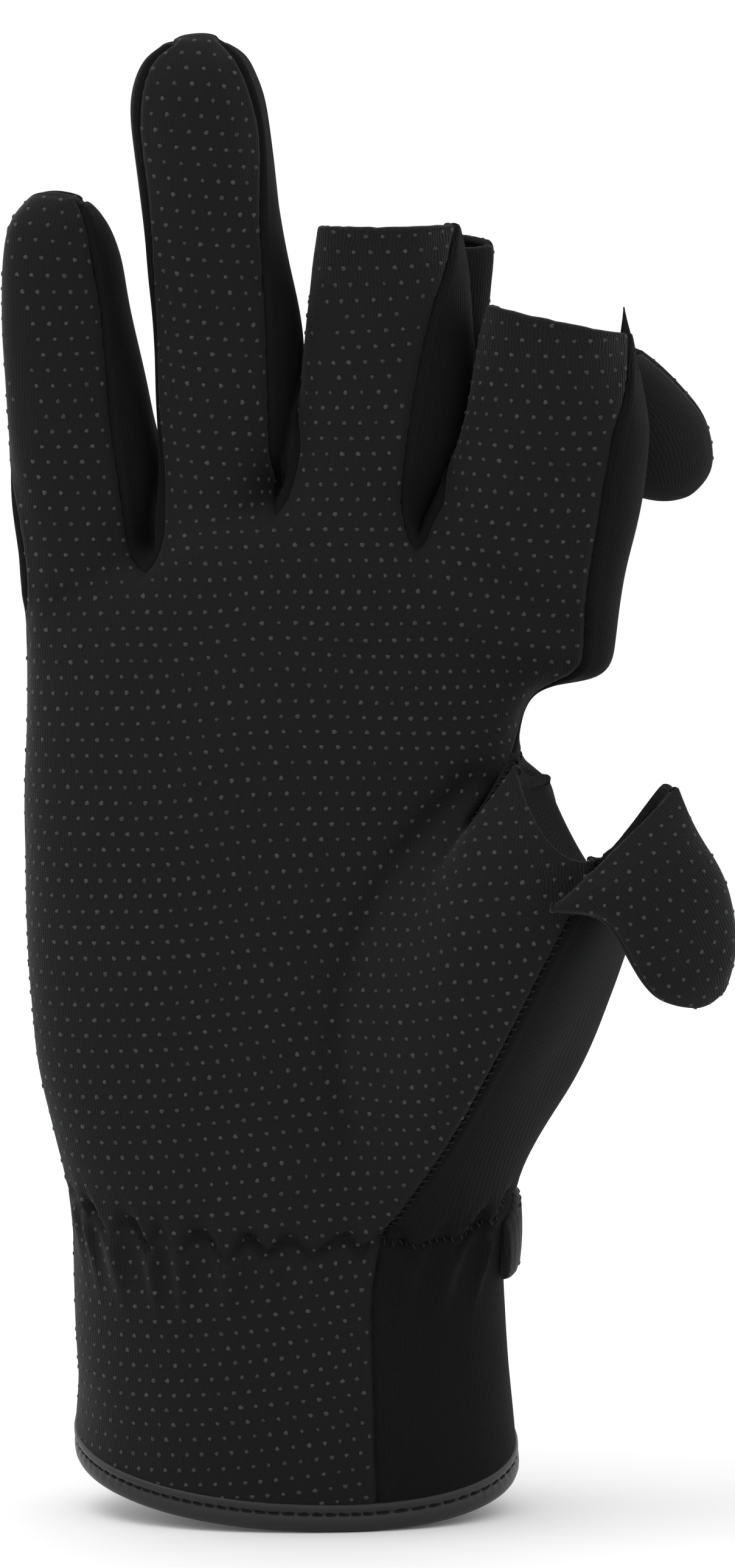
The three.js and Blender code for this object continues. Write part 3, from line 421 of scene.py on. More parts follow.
# Angles of a row's columns: along the seam and valley below, along the fingers above
def rowAngles(row, section):
    seam = 110.0
    for _ in range(6):
        up = rowPoint(section, seam).z / glove["height"]
        seam = mix(seam, frontAngle(section, lookup(creaseLine, up, 1) * glove["palmWidth"]), 0.7)
    low = [(0, -6), (grid["seamColumn"], seam), (grid["backColumn"], 215), (36, 338), (40, 354)]
    corner = frontAngle(section, indexFinger[0][4] * glove["palmWidth"])
    bases = [frontAngle(section, w[0] * glove["palmWidth"]) for w in webLine[1:4]]
    high = [(0, 0), (4, bases[0]), (8, bases[1]), (12, bases[2]), (16, corner), (20, 360 - corner),
            (24, 360 - bases[2]), (28, 360 - bases[1]), (32, 360 - bases[0]), (36, 340), (40, 360)]
    return [mix(straight(low, c), straight(high, c), topBlend(row)) for c in range(grid["columns"])]


def addCorner(point, soft=0.0, pulled=0.0):
    corners.append(Vector(point))
    softness.append(soft)
    pull.append(pulled)
    return len(corners) - 1


def addCell(panel, corner4, flat4):
    cells.append((panelNames.index(panel), corner4, flat4))


# Width and height of a cell on the flat cloth, in mm
flatCell = {"palm": (5.4, 6.6), "finger": (3.6, 7.0), "thumb": (2.4, 6.0), "cap": (3.2, 7.0)}
flatTipRow = 3.0


def flatSquare(u, v, width, height):
    return [(u, v), (u + width, v), (u + width, v + height), (u, v + height)]


def flatPlace(kind, column, row):
    width, height = flatCell[kind]
    return flatSquare(column * width, row * height, width, height)


def flatTip(kind, column, rows, tipRow):
    width, height = flatCell[kind]
    return flatSquare(column * width, rows * height + tipRow * flatTipRow, width, flatTipRow)


# Cuff, palm and back
def handPanel(row, c):
    if row == 0:
        return "hem"
    if row < grid["gatherRow"]:
        return "palm_panel" if c < grid["seamColumn"] else "back_panel"
    if row < grid["crotchRow"]:
        if c < grid["seamColumn"]:
            return "palm_panel"
        return "" if c < grid["backColumn"] else "back_panel"
    return "palm_panel" if c < grid["cornerColumn"] else "back_panel"


hand = []
for row in range(grid["topRow"] + 1):
    section = rowSection(row)
    soft = 0.0 if row < 3 else 0.22 if row > grid["crotchRow"] - 2 else 0.15
    ring = []
    for c, angle in enumerate(rowAngles(row, section)):
        hidden = grid["gatherRow"] < row < grid["crotchRow"] and grid["seamColumn"] < c < grid["backColumn"]
        ring.append(-1 if hidden else addCorner(rowPoint(section, angle), soft))
    hand.append(ring)
for row in range(grid["topRow"]):
    for c in range(grid["columns"]):
        n = (c + 1) % grid["columns"]
        panel = handPanel(row, c)
        if panel:
            four = (hand[row][c], hand[row][n], hand[row + 1][n], hand[row + 1][c])
            addCell(panel, four, flatPlace("palm", c, row))

# Webs between the fingers
webs = []
for w in (1, 2, 3):
    front = corners[hand[grid["topRow"]][4 * w]]
    back = corners[hand[grid["topRow"]][grid["columns"] - 4 - 4 * w]]
    webs.append([])
    for t in (0.25, 0.5, 0.75):
        rise = Vector((0, 0, glove["webRise"] * math.sin(math.pi * t) ** 0.5))
        webs[-1].append(addCorner(front.lerp(back, t) + rise, 0.2))


# A closed tip: a patch of four by four faces over a ring of sixteen corners
def closeTip(ring, rise, panelFor, flatFor):
    patch = [[-1] * 5 for _ in range(5)]
    for j in range(5):
        patch[0][j] = ring[j]
        patch[4][j] = ring[12 - j]
        patch[j][4] = ring[4 + j]
        patch[j][0] = ring[(16 - j) % 16]
    place = lambda i, j: corners[patch[i][j]]
    inner = {}
    for i in (1, 2, 3):
        for j in (1, 2, 3):
            u, v = i / 4, j / 4
            p = place(0, j) * (1 - u) + place(4, j) * u + place(i, 0) * (1 - v) + place(i, 4) * v
            p -= place(0, 0) * (1 - u) * (1 - v) + place(0, 4) * (1 - u) * v
            p -= place(4, 0) * u * (1 - v) + place(4, 4) * u * v
            inner[i, j] = p + rise * math.sin(math.pi * u) * math.sin(math.pi * v)
    for (i, j), p in inner.items():
        patch[i][j] = addCorner(p)
    for i in range(4):
        for j in range(4):
            four = (patch[i][j], patch[i][j + 1], patch[i + 1][j + 1], patch[i + 1][j])
            addCell(panelFor(i), four, flatFor(i, j))


def fingerSection(table, leftUp, rightUp):
    value = lambda up, column, size: lookup(table, up / glove["height"], column) * size
    middleUp = (leftUp + rightUp) / 2
    return {
        "left": value(leftUp, 1, glove["palmWidth"]),
        "right": value(rightUp, 2, glove["palmWidth"]),
        "leftSeam": value(leftUp, 3, glove["palmWidth"]),
        "rightSeam": value(rightUp, 4, glove["palmWidth"]),
        "middle": value(middleUp, 5, glove["palmDepth"]),
        "half": value(middleUp, 6, glove["fingerDepth"]),
        "lean": 0.0,
        "turn": glove["fingerTurn"],
        "square": glove["fingerSquare"],
    }


# A seam at a finger's left edge goes round to its side, above the web
def fingerAngles(section, q, edgeSeam):
    turned = smooth((q - 0.2) / 0.3)
    seam = frontAngle(section, section["leftSeam"])
    left = mix(seam, -14, turned) if edgeSeam else seam
    backLeft = mix(360 - max(seam, 20), 316, turned if edgeSeam else 0)
    right = frontAngle(section, section["rightSeam"])
    keys = [left, right, 360 - min(right, 160), backLeft, left + 360]
    return [mix(keys[k], keys[k + 1], i / 4) for k in range(4) for i in range(4)]


sidePanels = ["side_panel_little_ring", "side_panel_ring_middle", "side_panel_middle_index"]


def fillAt(angle, q):
    turn = max(0.0, -math.sin(angle * degree)) * max(0.0, -math.cos(angle * degree))
    return 2 * glove["sideFill"] * turn * (1 - smooth((q - 0.28) / 0.14))


def addFinger(finger, index):
    top = grid["topRow"]
    base = [hand[top][4 * index + i] for i in range(5)]
    base += [hand[top][17 + i] for i in range(3)] if index == 3 else webs[index]
    base += [hand[top][(32 - 4 * index + i) % grid["columns"]] for i in range(5)]
    base += [hand[top][37 + i] for i in range(3)] if index == 0 else webs[index - 1][::-1]
    table = finger["table"]
    tipUp = table[-1][0] * glove["height"]
    rings = [base]
    for row in range(1, finger["rows"] + 1):
        q = finger["shares"][row - 1] if "shares" in finger else row / finger["rows"]
        leftUp = mix(webUp(webLine[index][0] * glove["palmWidth"]), tipUp, q)
        rightUp = mix(webUp(webLine[index + 1][0] * glove["palmWidth"]), tipUp, q)
        section = fingerSection(table, leftUp, rightUp)
        ring = []
        for angle in fingerAngles(section, q, finger["edgeSeam"]):
            x, y, _ = oval(section, angle)
            across = (x - section["left"]) / (section["right"] - section["left"])
            up = mix(leftUp, rightUp, across)
            if "slope" in finger:
                drop = -glove["rimDrop"] * smooth((0.3 - math.sin(angle * degree)) / 1.3)
                up += q ** 4 * (finger["slope"] * glove["height"] * (0.5 - across) + drop)
            pulled = smooth((q - 0.62) / 0.38) if "slope" in finger else 0.0
            fill = fillAt(angle, q) if index < 2 else 0.0
            ring.append(addCorner((x + fill, y, up), 0.15 if row < 3 else 0.0, pulled))
        rings.append(ring)

    def panelAt(i):
        if i < 4:
            return "palm_panel"
        if i < 8:
            return "back_panel" if index == 3 else sidePanels[index]
        return "back_panel" if i < 12 or index == 0 else sidePanels[index - 1]

    for row in range(finger["rows"]):
        for i in range(16):
            n = (i + 1) % 16
            four = (rings[row][i], rings[row][n], rings[row + 1][n], rings[row + 1][i])
            addCell(panelAt(i), four, flatPlace("finger", i, row))
    if "slope" not in finger:
        rise = Vector((0, 0, finger["tipRise"] * glove["height"]))
        flatFor = lambda i, j: flatTip("finger", j, finger["rows"], i)
        closeTip(rings[-1], rise, lambda i: "palm_panel" if i < 2 else "back_panel", flatFor)


fingers = [
    {"table": littleFinger, "rows": 11, "edgeSeam": True, "tipRise": 0.006,
     "shares": [0.06, 0.15, 0.26, 0.38, 0.5, 0.62, 0.73, 0.83, 0.915, 0.965, 1]},
    {"table": ringFinger, "rows": 13, "edgeSeam": False, "tipRise": 0.005,
     "shares": [0.05, 0.12, 0.21, 0.31, 0.41, 0.51, 0.61, 0.71, 0.8, 0.875, 0.93, 0.972, 1]},
    {"table": middleFinger, "rows": 9, "edgeSeam": True, "slope": 0.0},
    {"table": indexFinger, "rows": 9, "edgeSeam": True, "slope": 0.02},
]
for index, finger in enumerate(fingers):
    addFinger(finger, index)

# Thumb: a fan of rings from the palm's side opening to the rim
loop = [hand[grid["crotchRow"]][c] for c in range(grid["seamColumn"], grid["backColumn"])]
loop += [hand[row][grid["backColumn"]] for row in range(grid["crotchRow"], grid["gatherRow"], -1)]
loop += [hand[grid["gatherRow"]][c] for c in range(grid["backColumn"], grid["seamColumn"], -1)]
loop += [hand[row][grid["seamColumn"]] for row in range(grid["gatherRow"], grid["crotchRow"])]
thumbKeys = [0, 8, 18, 26, 36]
turnsAtPalm = [45, -45, -135, -229, -315]
turnsAtRim = [40, -38, -150, -255, -320]


def glovePlace(across, up, depth):
    return Vector((across * glove["palmWidth"], depth * glove["palmDepth"], up * glove["height"]))


def thumbPoint(ring, i):
    t = ring / (len(thumbRings) - 1)
    turns = [mix(a, b, t) for a, b in zip(turnsAtPalm, turnsAtRim)]
    angle = straight(list(zip(thumbKeys, turns)), i) * degree
    row = thumbRings[ring]
    inner, front, outer, back = [glovePlace(*row[at:at + 3]) for at in (0, 3, 6, 9)]
    power = mix(0.55, 1, t)
    c = powered(math.cos(angle), power) / 2
    s = powered(math.sin(angle), power) / 2
    d = math.cos(2 * angle) / 4
    return inner * (0.25 + c + d) + outer * (0.25 - c + d) + front * (0.25 + s - d) + back * (0.25 - s - d)


# Smooth curve between b and c, with a before them and d after them
def throughFour(a, b, c, d, t):
    return (a * (-t + 2 * t * t - t ** 3) + b * (2 - 5 * t * t + 3 * t ** 3)
            + c * (t + 4 * t * t - 3 * t ** 3) + d * (t ** 3 - t * t)) / 2


def curvePoint(points, at):
    last = len(points) - 1
    i = min(last - 1, int(at))
    return throughFour(points[max(0, i - 1)], points[i], points[i + 1], points[min(last, i + 2)], at - i)


thumb = [loop]
ringCount = len(thumbRings)
thumbCurves = [[corners[k].copy()] + [thumbPoint(r, i) for r in range(ringCount)] for i, k in enumerate(loop)]
for row in range(1, grid["thumbRows"] + 1):
    at = row / grid["thumbRows"] * ringCount
    soft = 0.5 if row < 4 else 0.15 if row < grid["thumbRows"] else 0.0
    pulled = smooth((row - 7) / 3)
    thumb.append([addCorner(curvePoint(points, at), soft, pulled) for points in thumbCurves])
for row in range(grid["thumbRows"]):
    for i in range(len(loop)):
        n = (i + 1) % len(loop)
        panel = "palm_panel" if i < 2 or i >= 26 else "thumb_back"
        four = (thumb[row][i], thumb[row + 1][i], thumb[row + 1][n], thumb[row][n])
        flat = flatPlace("thumb", i, row)
        addCell(panel, four, [flat[k] for k in (0, 3, 2, 1)])
for k in loop:
    softness[k] = max(softness[k], 0.3)


# Soft joins between palm, fingers and thumb
def smoothCorners(times):
    near = [set() for _ in corners]
    for _, four, _ in cells:
        for i, k in enumerate(four):
            near[k].update((four[(i + 1) % 4], four[(i + 3) % 4]))
    for _ in range(times):
        moved = []
        for k, p in enumerate(corners):
            if softness[k] and len(near[k]) > 2:
                middle = sum((corners[j] for j in near[k]), Vector()) / len(near[k])
                p = p.lerp(middle, softness[k])
            moved.append(p.copy())
        corners[:] = moved


smoothCorners(3)


def cornerNormals():
    normals = [Vector() for _ in corners]
    for _, four, _ in cells:
        a, b, c, d = [corners[k] for k in four]
        n = (c - a).cross(d - b)
        for k in four:
            normals[k] += n
    return [n.normalized() for n in normals]


# Folded caps: flat pouches from an open mouth to a closed tip, a grip half and a plain half
def addCap(name, table, gripSide, plane, depth):
    rows = []
    for r in table:
        one = Vector((r[0] * glove["palmWidth"], plane + r[2] * depth, r[1] * glove["height"]))
        other = Vector((r[3] * glove["palmWidth"], plane + r[5] * depth, r[4] * glove["height"]))
        rows.append(((one + other) / 2, (other - one) / 2, r[6] * glove["fingerDepth"]))
    rings = []
    for k, (middle, half, thick) in enumerate(rows):
        tangent = (rows[min(len(rows) - 1, k + 1)][0] - rows[max(0, k - 1)][0]).normalized()
        outward = half.cross(tangent).normalized() * gripSide * thick
        ring = []
        for i in range(16):
            angle = (135 - 22.5 * i) * degree
            side = half * gripSide * powered(math.cos(angle), 0.85)
            ring.append(addCorner(middle + side + outward * powered(math.sin(angle), 0.85), 0.0, 0.35))
        rings.append(ring)
    halfName = lambda i: name + ("_grip" if i < 6 or i >= 14 else "_back")
    for k in range(len(rings) - 1):
        for i in range(16):
            n = (i + 1) % 16
            four = (rings[k][i], rings[k][n], rings[k + 1][n], rings[k + 1][i])
            u = (i + 2) % 16 if i >= 14 or i < 6 else i
            addCell(halfName(i), four, flatPlace("cap", u, k))
    rise = (rows[-1][0] - rows[-2][0]).normalized() * glove["capTipRise"]
    flatFor = lambda i, j: flatTip("cap", j + 2, len(table), i)
    closeTip(rings[-1], rise, lambda i: name + ("_grip" if i < 2 else "_back"), flatFor)


fingerPlane = -0.535 * glove["palmDepth"]
addCap("middle_cap", middleCap, 1, fingerPlane, glove["fingerDepth"])
addCap("index_cap", indexCap, 1, fingerPlane, glove["fingerDepth"])
addCap("thumb_cap", thumbCap, -1, 0.0, glove["palmDepth"])
cageNormals = cornerNormals()
print("cage:", len(corners), "corners,", len(cells), "faces")


# The cloth laid flat: lengths of edges and diagonals are kept while the panel flattens
def layFlat(members, start):
    used = sorted({k for m in members for k in cells[m][1]})
    order = {k: i for i, k in enumerate(used)}
    pairs = {}
    for m in members:
        four = cells[m][1]
        for a, b in ((0, 1), (1, 2), (2, 3), (3, 0), (0, 2), (1, 3)):
            key = tuple(sorted((order[four[a]], order[four[b]])))
            pairs[key] = (corners[four[a]] - corners[four[b]]).length
    ends = np.array(list(pairs))
    lengths = np.array(list(pairs.values()))
    weights = 1 / np.maximum(lengths, 0.5)
    count = len(used)
    stiffness = np.full((count, count), 1 / count)
    np.add.at(stiffness, (ends[:, 0], ends[:, 0]), weights)
    np.add.at(stiffness, (ends[:, 1], ends[:, 1]), weights)
    np.add.at(stiffness, (ends[:, 0], ends[:, 1]), -weights)
    np.add.at(stiffness, (ends[:, 1], ends[:, 0]), -weights)
    solver = np.linalg.inv(stiffness)
    flat = np.array([start(k) for k in used])
    first = flat.copy()
    for _ in range(600):
        along = flat[ends[:, 0]] - flat[ends[:, 1]]
        target = along * (weights * lengths / np.maximum(np.linalg.norm(along, axis=1), 1e-9))[:, None]
        push = np.zeros_like(flat)
        np.add.at(push, ends[:, 0], target)
        np.add.at(push, ends[:, 1], -target)
        flat = solver @ push
    return used, flat, first


# Turns and shifts a flat panel so that the chosen corners keep their first places
def settle(flat, first, chosen):
    a, b = flat[chosen], first[chosen]
    ca, cb = a.mean(axis=0), b.mean(axis=0)
    u, _, vt = np.linalg.svd((a - ca).T @ (b - cb))
    turn = u @ np.diag([1, np.sign(np.linalg.det(u @ vt))]) @ vt
    return (flat - ca) @ turn + cb


def flattenPanel(panel, start, anchors=None):
    members = [m for m, cell in enumerate(cells) if panelNames[cell[0]] == panel]
    used, flat, first = layFlat(members, start)
    chosen = [i for i, k in enumerate(used) if anchors is None or k in anchors]
    flat = settle(flat, first, chosen)
    places = {k: tuple(flat[i]) for i, k in enumerate(used)}
    for m in members:
        cells[m] = (cells[m][0], cells[m][1], [places[k] for k in cells[m][1]])


palmCentre = {hand[row][c] for row in range(9, 17) for c in range(2, 12)}
flattenPanel("palm_panel", lambda k: (corners[k].x, corners[k].z + 0.6 * (corners[k].y + 20)), palmCentre)
for cap in ("middle_cap", "index_cap", "thumb_cap"):
    known = {}
    for cell in cells:
        if panelNames[cell[0]] == cap + "_grip":
            known.update(zip(cell[1], cell[2]))
    flattenPanel(cap + "_grip", lambda k: known[k])
print("grip panels laid flat")


# Where the rounded surface ends up for given cage corners
def limitPlaces(places, quads, openEdges):
    valence = np.zeros(len(places))
    total = np.zeros_like(places)
    for i in range(4):
        k = quads[:, i]
        np.add.at(valence, k, 1)
        np.add.at(total, k, 2 * (places[quads[:, (i + 1) % 4]] + places[quads[:, (i + 3) % 4]]))
        np.add.at(total, k, places[quads[:, (i + 2) % 4]])
    n = valence[:, None]
    limit = (n * n * places + total) / (n * n + 5 * n)
    edge = np.zeros_like(places)
    np.add.at(edge, openEdges[:, 0], places[openEdges[:, 1]])
    np.add.at(edge, openEdges[:, 1], places[openEdges[:, 0]])
    rim = np.unique(openEdges)
    limit[rim] = (4 * places[rim] + edge[rim]) / 6
    return limit


quads = np.array([cell[1] for cell in cells])
edgeCount = {}
for four in quads:
    for i in range(4):
        key = tuple(sorted((int(four[i]), int(four[(i + 1) % 4]))))
        edgeCount[key] = edgeCount.get(key, 0) + 1
openEdges = np.array([key for key, n in edgeCount.items() if n == 1])
wanted = np.array([tuple(p) for p in corners])
cage = wanted.copy()
for _ in range(5):  # the cage swells until the rounded surface passes through the wanted corners
    cage += 0.85 * (wanted - limitPlaces(cage, quads, openEdges))


def newMesh(name, places, faces, flat, tones):
    mesh = bpy.data.meshes.new(name)
    faces = [np.asarray(f) for f in (faces if isinstance(faces, list) else [faces])]
    mesh.vertices.add(len(places))
    mesh.vertices.foreach_set("co", (np.asarray(places, float) * mm).astype(np.float32).ravel())
    loops = np.concatenate([f.ravel() for f in faces])
    sizes = np.concatenate([np.full(len(f), f.shape[1]) for f in faces])
    mesh.loops.add(len(loops))
    mesh.loops.foreach_set("vertex_index", loops.astype(np.int32))
    mesh.polygons.add(len(sizes))
    mesh.polygons.foreach_set("loop_start", (np.cumsum(sizes) - sizes).astype(np.int32))
    mesh.polygons.foreach_set("use_smooth", np.ones(len(sizes), bool))
    layer = mesh.uv_layers.new(name="flat")
    layer.uv.foreach_set("vector", (np.asarray(flat, float) * mm).astype(np.float32).ravel())
    attribute = mesh.attributes.new("tone", "FLOAT", "POINT")
    attribute.data.foreach_set("value", np.asarray(tones, np.float32))
    mesh.update(calc_edges=True)
    mesh.validate()
    return mesh


def pointArray(points):
    return np.array([tuple(p) for p in points])


# A small sewn thing with no pull in its cloth
def plainMesh(name, points, faces, flat):
    return newMesh(name, pointArray(points), faces, flat, np.zeros(len(points)))


# The rounded cloth at a given level: places, faces, panel of each face, flat places, pull.
# The cage carries the pull in the attribute "tone" and the panel as the material's number.
def roundedCloth(level):
    mesh = newMesh("cage", cage, quads, np.array([cell[2] for cell in cells]), pull)
    mesh.polygons.foreach_set("material_index", np.array([cell[0] for cell in cells], np.int32))
    for _ in panelNames:
        mesh.materials.append(None)
    cageObject = bpy.data.objects.new("cage", mesh)
    bpy.context.scene.collection.objects.link(cageObject)
    rounding = cageObject.modifiers.new("rounding", "SUBSURF")
    rounding.levels = level
    rounding.quality = 4
    rounding.uv_smooth = "PRESERVE_BOUNDARIES"
    fine = cageObject.evaluated_get(bpy.context.evaluated_depsgraph_get()).to_mesh()
    places = np.empty(len(fine.vertices) * 3, np.float32)
    fine.vertices.foreach_get("co", places)
    faces = np.empty(len(fine.loops), np.int32)
    fine.loops.foreach_get("vertex_index", faces)
    panel = np.empty(len(fine.polygons), np.int32)
    fine.polygons.foreach_get("material_index", panel)
    flat = np.empty(len(fine.loops) * 2, np.float32)
    fine.uv_layers["flat"].uv.foreach_get("vector", flat)
    pulled = np.empty(len(fine.vertices), np.float32)
    fine.attributes["tone"].data.foreach_get("value", pulled)
    result = (places.reshape(-1, 3).astype(float) / mm, faces.reshape(-1, 4), panel,
              flat.reshape(-1, 4, 2).astype(float) / mm, pulled)
    bpy.data.objects.remove(cageObject)
    bpy.data.meshes.remove(mesh)
    return result


def meshNormals(places, faces):
    across = places[faces[:, 2]] - places[faces[:, 0]]
    along = places[faces[:, 3]] - places[faces[:, 1]]
    faceNormals = np.cross(across, along)
    normals = np.zeros_like(places)
    for i in range(4):
        np.add.at(normals, faces[:, i], faceNormals)
    return normals / np.maximum(np.linalg.norm(normals, axis=1), 1e-12)[:, None]


fine, fineFaces, finePanel, fineFlat, finePull = roundedCloth(3)
fineNormals = meshNormals(fine, fineFaces)
print("rounded cloth:", len(fineFaces), "faces")


# Borders of the fine cloth: seams between two panels, and rims where it stops
def clothBorders(faces, panel):
    ends = np.concatenate([faces[:, [i, (i + 1) % 4]] for i in range(4)])
    owner = np.tile(np.arange(len(faces)), 4)
    key = np.sort(ends, axis=1)
    order = np.lexsort((key[:, 1], key[:, 0]))
    key, ends, owner = key[order], ends[order], owner[order]
    same = np.all(key[1:] == key[:-1], axis=1)
    paired = np.concatenate([[False], same]) | np.concatenate([same, [False]])
    rims = [(tuple(ends[i]), int(panel[owner[i]])) for i in np.flatnonzero(~paired)]
    seams = []
    for i in np.flatnonzero(same):
        a, b = panel[owner[i]], panel[owner[i + 1]]
        if a != b:
            seams.append((tuple(int(k) for k in key[i]), tuple(sorted((int(a), int(b))))))
    return seams, rims


seams, rims = clothBorders(fineFaces, finePanel)
hemPanel = panelNames.index("hem")
clothSeams = [s for s in seams if hemPanel not in s[1]]
print("borders:", len(clothSeams), "seam edges,", len(rims), "rim edges")

# Relief of the cloth, in mm
relief = {
    "seamDepth": 0.55,
    "seamWidth": 0.38,
    "lipRise": 0.14,
    "lipPlace": 1.25,
    "lipWidth": 0.6,
    "gatherDepth": 1.9,
    "gatherWidth": 1.1,
    "gatherSway": 4.0,
    "gatherSpan": (26, 72),  # lowest and highest place that the gather changes
    "wristRadius": 33.0,
    "wristFlatness": 1.6,
    "pleatRise": 1.65,
    "pleatPitch": 7.6,
    "pleatBelow": 6.5,
    "pleatAbove": 4.5,
    "pleatDrop": 1.5,
    "valleyDepth": 1.0,
    "valleyWidth": 2.0,
    "valleyReach": 8,
    "valleySpan": (45, 130),
    "waveRise": 0.16,
}


def treeOf(places):
    tree = KDTree(len(places))
    for i, p in enumerate(places):
        tree.insert(p, i)
    tree.balance()
    return tree


seamPlaces = [fine[k] for (a, b), _ in clothSeams for k in (a, b)]
seamPlaces += [(fine[a] + fine[b]) / 2 for (a, b), _ in clothSeams]
seamTree = treeOf(seamPlaces)
seamDistance = np.array([seamTree.find(p)[2] for p in fine])

# Gather line round the wrist: its height by the angle round the wrist
gatherLoop = [corners[k] for k in hand[grid["gatherRow"]]]
gatherMiddle = sum(gatherLoop, Vector()) / len(gatherLoop)


def wristTurn(x, y):
    return math.atan2(x - gatherMiddle.x, -(y - gatherMiddle.y) * relief["wristFlatness"])


turns = np.array([wristTurn(p.x, p.y) for p in gatherLoop])
order = np.argsort(turns)
gatherTurns = np.concatenate([turns[order] - 2 * math.pi, turns[order], turns[order] + 2 * math.pi])
gatherUp = np.tile(np.array([p.z for p in gatherLoop])[order], 3)


def pleatWave(s):
    wave = math.sin(2 * math.pi * s / relief["pleatPitch"] + 1.9 * noise.noise(Vector((s * 0.11, 3.1, 0.0))))
    return (0.5 + 0.5 * wave) ** 1.4 * (0.75 + 0.5 * noise.noise(Vector((s * 0.07, 8.3, 0.0))))


def clothRelief(p, i):
    ragged = 1.0 + 0.5 * noise.noise(Vector(p) * 0.9)
    out = -relief["seamDepth"] * ragged * math.exp(-(seamDistance[i] / relief["seamWidth"]) ** 2)
    out += relief["lipRise"] * math.exp(-((seamDistance[i] - relief["lipPlace"]) / relief["lipWidth"]) ** 2)
    out += relief["waveRise"] * noise.noise(Vector(p) * 0.09)
    if relief["gatherSpan"][0] < p[2] < relief["gatherSpan"][1]:
        turn = wristTurn(p[0], p[1])
        above = p[2] - np.interp(turn, gatherTurns, gatherUp)
        s = turn * relief["wristRadius"]
        front = smooth((math.cos(turn - 0.2) + 0.25) / 0.8)
        wave = pleatWave(s) * mix(0.35, 1.0, front)
        above += relief["gatherSway"] * (wave - 0.4) * front
        spread = relief["pleatBelow"] if above < 0 else relief["pleatAbove"]
        out += relief["pleatRise"] * wave * math.exp(-((above + relief["pleatDrop"]) / spread) ** 2)
        pit = 0.75 + 0.9 * noise.noise(Vector((s * 0.16, 5.7, 0.0)))
        out -= relief["gatherDepth"] * max(0.25, pit) * math.exp(-(above / relief["gatherWidth"]) ** 2)
    return out


rise = np.array([clothRelief(p, i) for i, p in enumerate(fine)])
valley = [corners[hand[row][grid["seamColumn"]]] for row in range(8, 18)]
valleyPlaces = [mix(valley[i], valley[i + 1], t / 6) for i in range(len(valley) - 1) for t in range(6)]
valleyTree = treeOf(valleyPlaces)
for i, p in enumerate(fine):
    if relief["valleySpan"][0] < p[2] < relief["valleySpan"][1] and p[0] > 0:
        _, at, far = valleyTree.find(p)
        if far < relief["valleyReach"]:
            rise[i] -= relief["valleyDepth"] * math.exp(-(far / relief["valleyWidth"]) ** 2) * smooth(at / 10)
fine = fine + fineNormals * rise[:, None]
fineNormals = meshNormals(fine, fineFaces)
print("relief pressed in")


# Shader groups
def newGroup(name, inputs, outputs):
    group = bpy.data.node_groups.new(name, "ShaderNodeTree")
    for socket, kind, value in inputs:
        made = group.interface.new_socket(name=socket, in_out="INPUT", socket_type=kind)
        if value is not None:
            made.default_value = value
    for socket, kind in outputs:
        group.interface.new_socket(name=socket, in_out="OUTPUT", socket_type=kind)
    return group, group.nodes.new("NodeGroupInput"), group.nodes.new("NodeGroupOutput")


def mathNode(tree, operation, a, b=None, c=None):
    node = tree.nodes.new("ShaderNodeMath")
    node.operation = operation
    for i, value in enumerate((a, b, c)):
        if isinstance(value, (int, float)):
            node.inputs[i].default_value = value
        elif value is not None:
            tree.links.new(value, node.inputs[i])
    return node.outputs[0]


def noiseNode(tree, vector, scale, detail=2.0, roughness=0.5):
    node = tree.nodes.new("ShaderNodeTexNoise")
    node.inputs["Scale"].default_value = scale
    node.inputs["Detail"].default_value = detail
    node.inputs["Roughness"].default_value = roughness
    tree.links.new(vector, node.inputs["Vector"])
    return node.outputs[0]


# Knit: fine upright ribs that open and wander where the cloth is pulled, and painted shade that darkens the
# colour in their grooves
def makeKnit():
    group, first, last = newGroup("knit", [
        ("Flat", "NodeSocketVector", None), ("Pull", "NodeSocketFloat", 0.0),
        ("Rib Pitch", "NodeSocketFloat", 0.00052), ("Grain", "NodeSocketFloat", 0.4),
    ], [("Height", "NodeSocketFloat"), ("Shade", "NodeSocketFloat")])
    split = group.nodes.new("ShaderNodeSeparateXYZ")
    group.links.new(first.outputs["Flat"], split.inputs[0])
    wander = mathNode(group, "SUBTRACT", noiseNode(group, first.outputs["Flat"], 420.0, 1.0), 0.5)
    amount = mathNode(group, "MULTIPLY_ADD", first.outputs["Pull"], 0.0011, 0.00035)
    across = mathNode(group, "ADD", split.outputs[0], mathNode(group, "MULTIPLY", wander, amount))
    ribs = mathNode(group, "DIVIDE", across, first.outputs["Rib Pitch"])
    turns = mathNode(group, "MULTIPLY", ribs, 2 * math.pi)
    rib = mathNode(group, "MULTIPLY_ADD", mathNode(group, "SINE", turns), 0.5, 0.5)
    ups = mathNode(group, "MULTIPLY", split.outputs[1], 2 * math.pi / 0.0006)
    slanted = mathNode(group, "SINE", mathNode(group, "ADD", ups, turns))
    row = mathNode(group, "MULTIPLY_ADD", slanted, 0.5, 0.5)
    grain = noiseNode(group, first.outputs["Flat"], 2600.0, 2.0, 0.7)
    strength = mathNode(group, "MULTIPLY_ADD", first.outputs["Pull"], 1.1, 0.35)
    height = mathNode(group, "MULTIPLY", rib, strength)
    height = mathNode(group, "MULTIPLY_ADD", row, 0.22, height)
    height = mathNode(group, "ADD", height, mathNode(group, "MULTIPLY", grain, first.outputs["Grain"]))
    group.links.new(height, last.inputs["Height"])
    # Shade: painted shade, the colour darker in the knit's grooves and lighter on its rib tops
    shade = mathNode(group, "MULTIPLY_ADD", height, 0.35, 0.72)
    group.links.new(shade, last.inputs["Shade"])
    return group


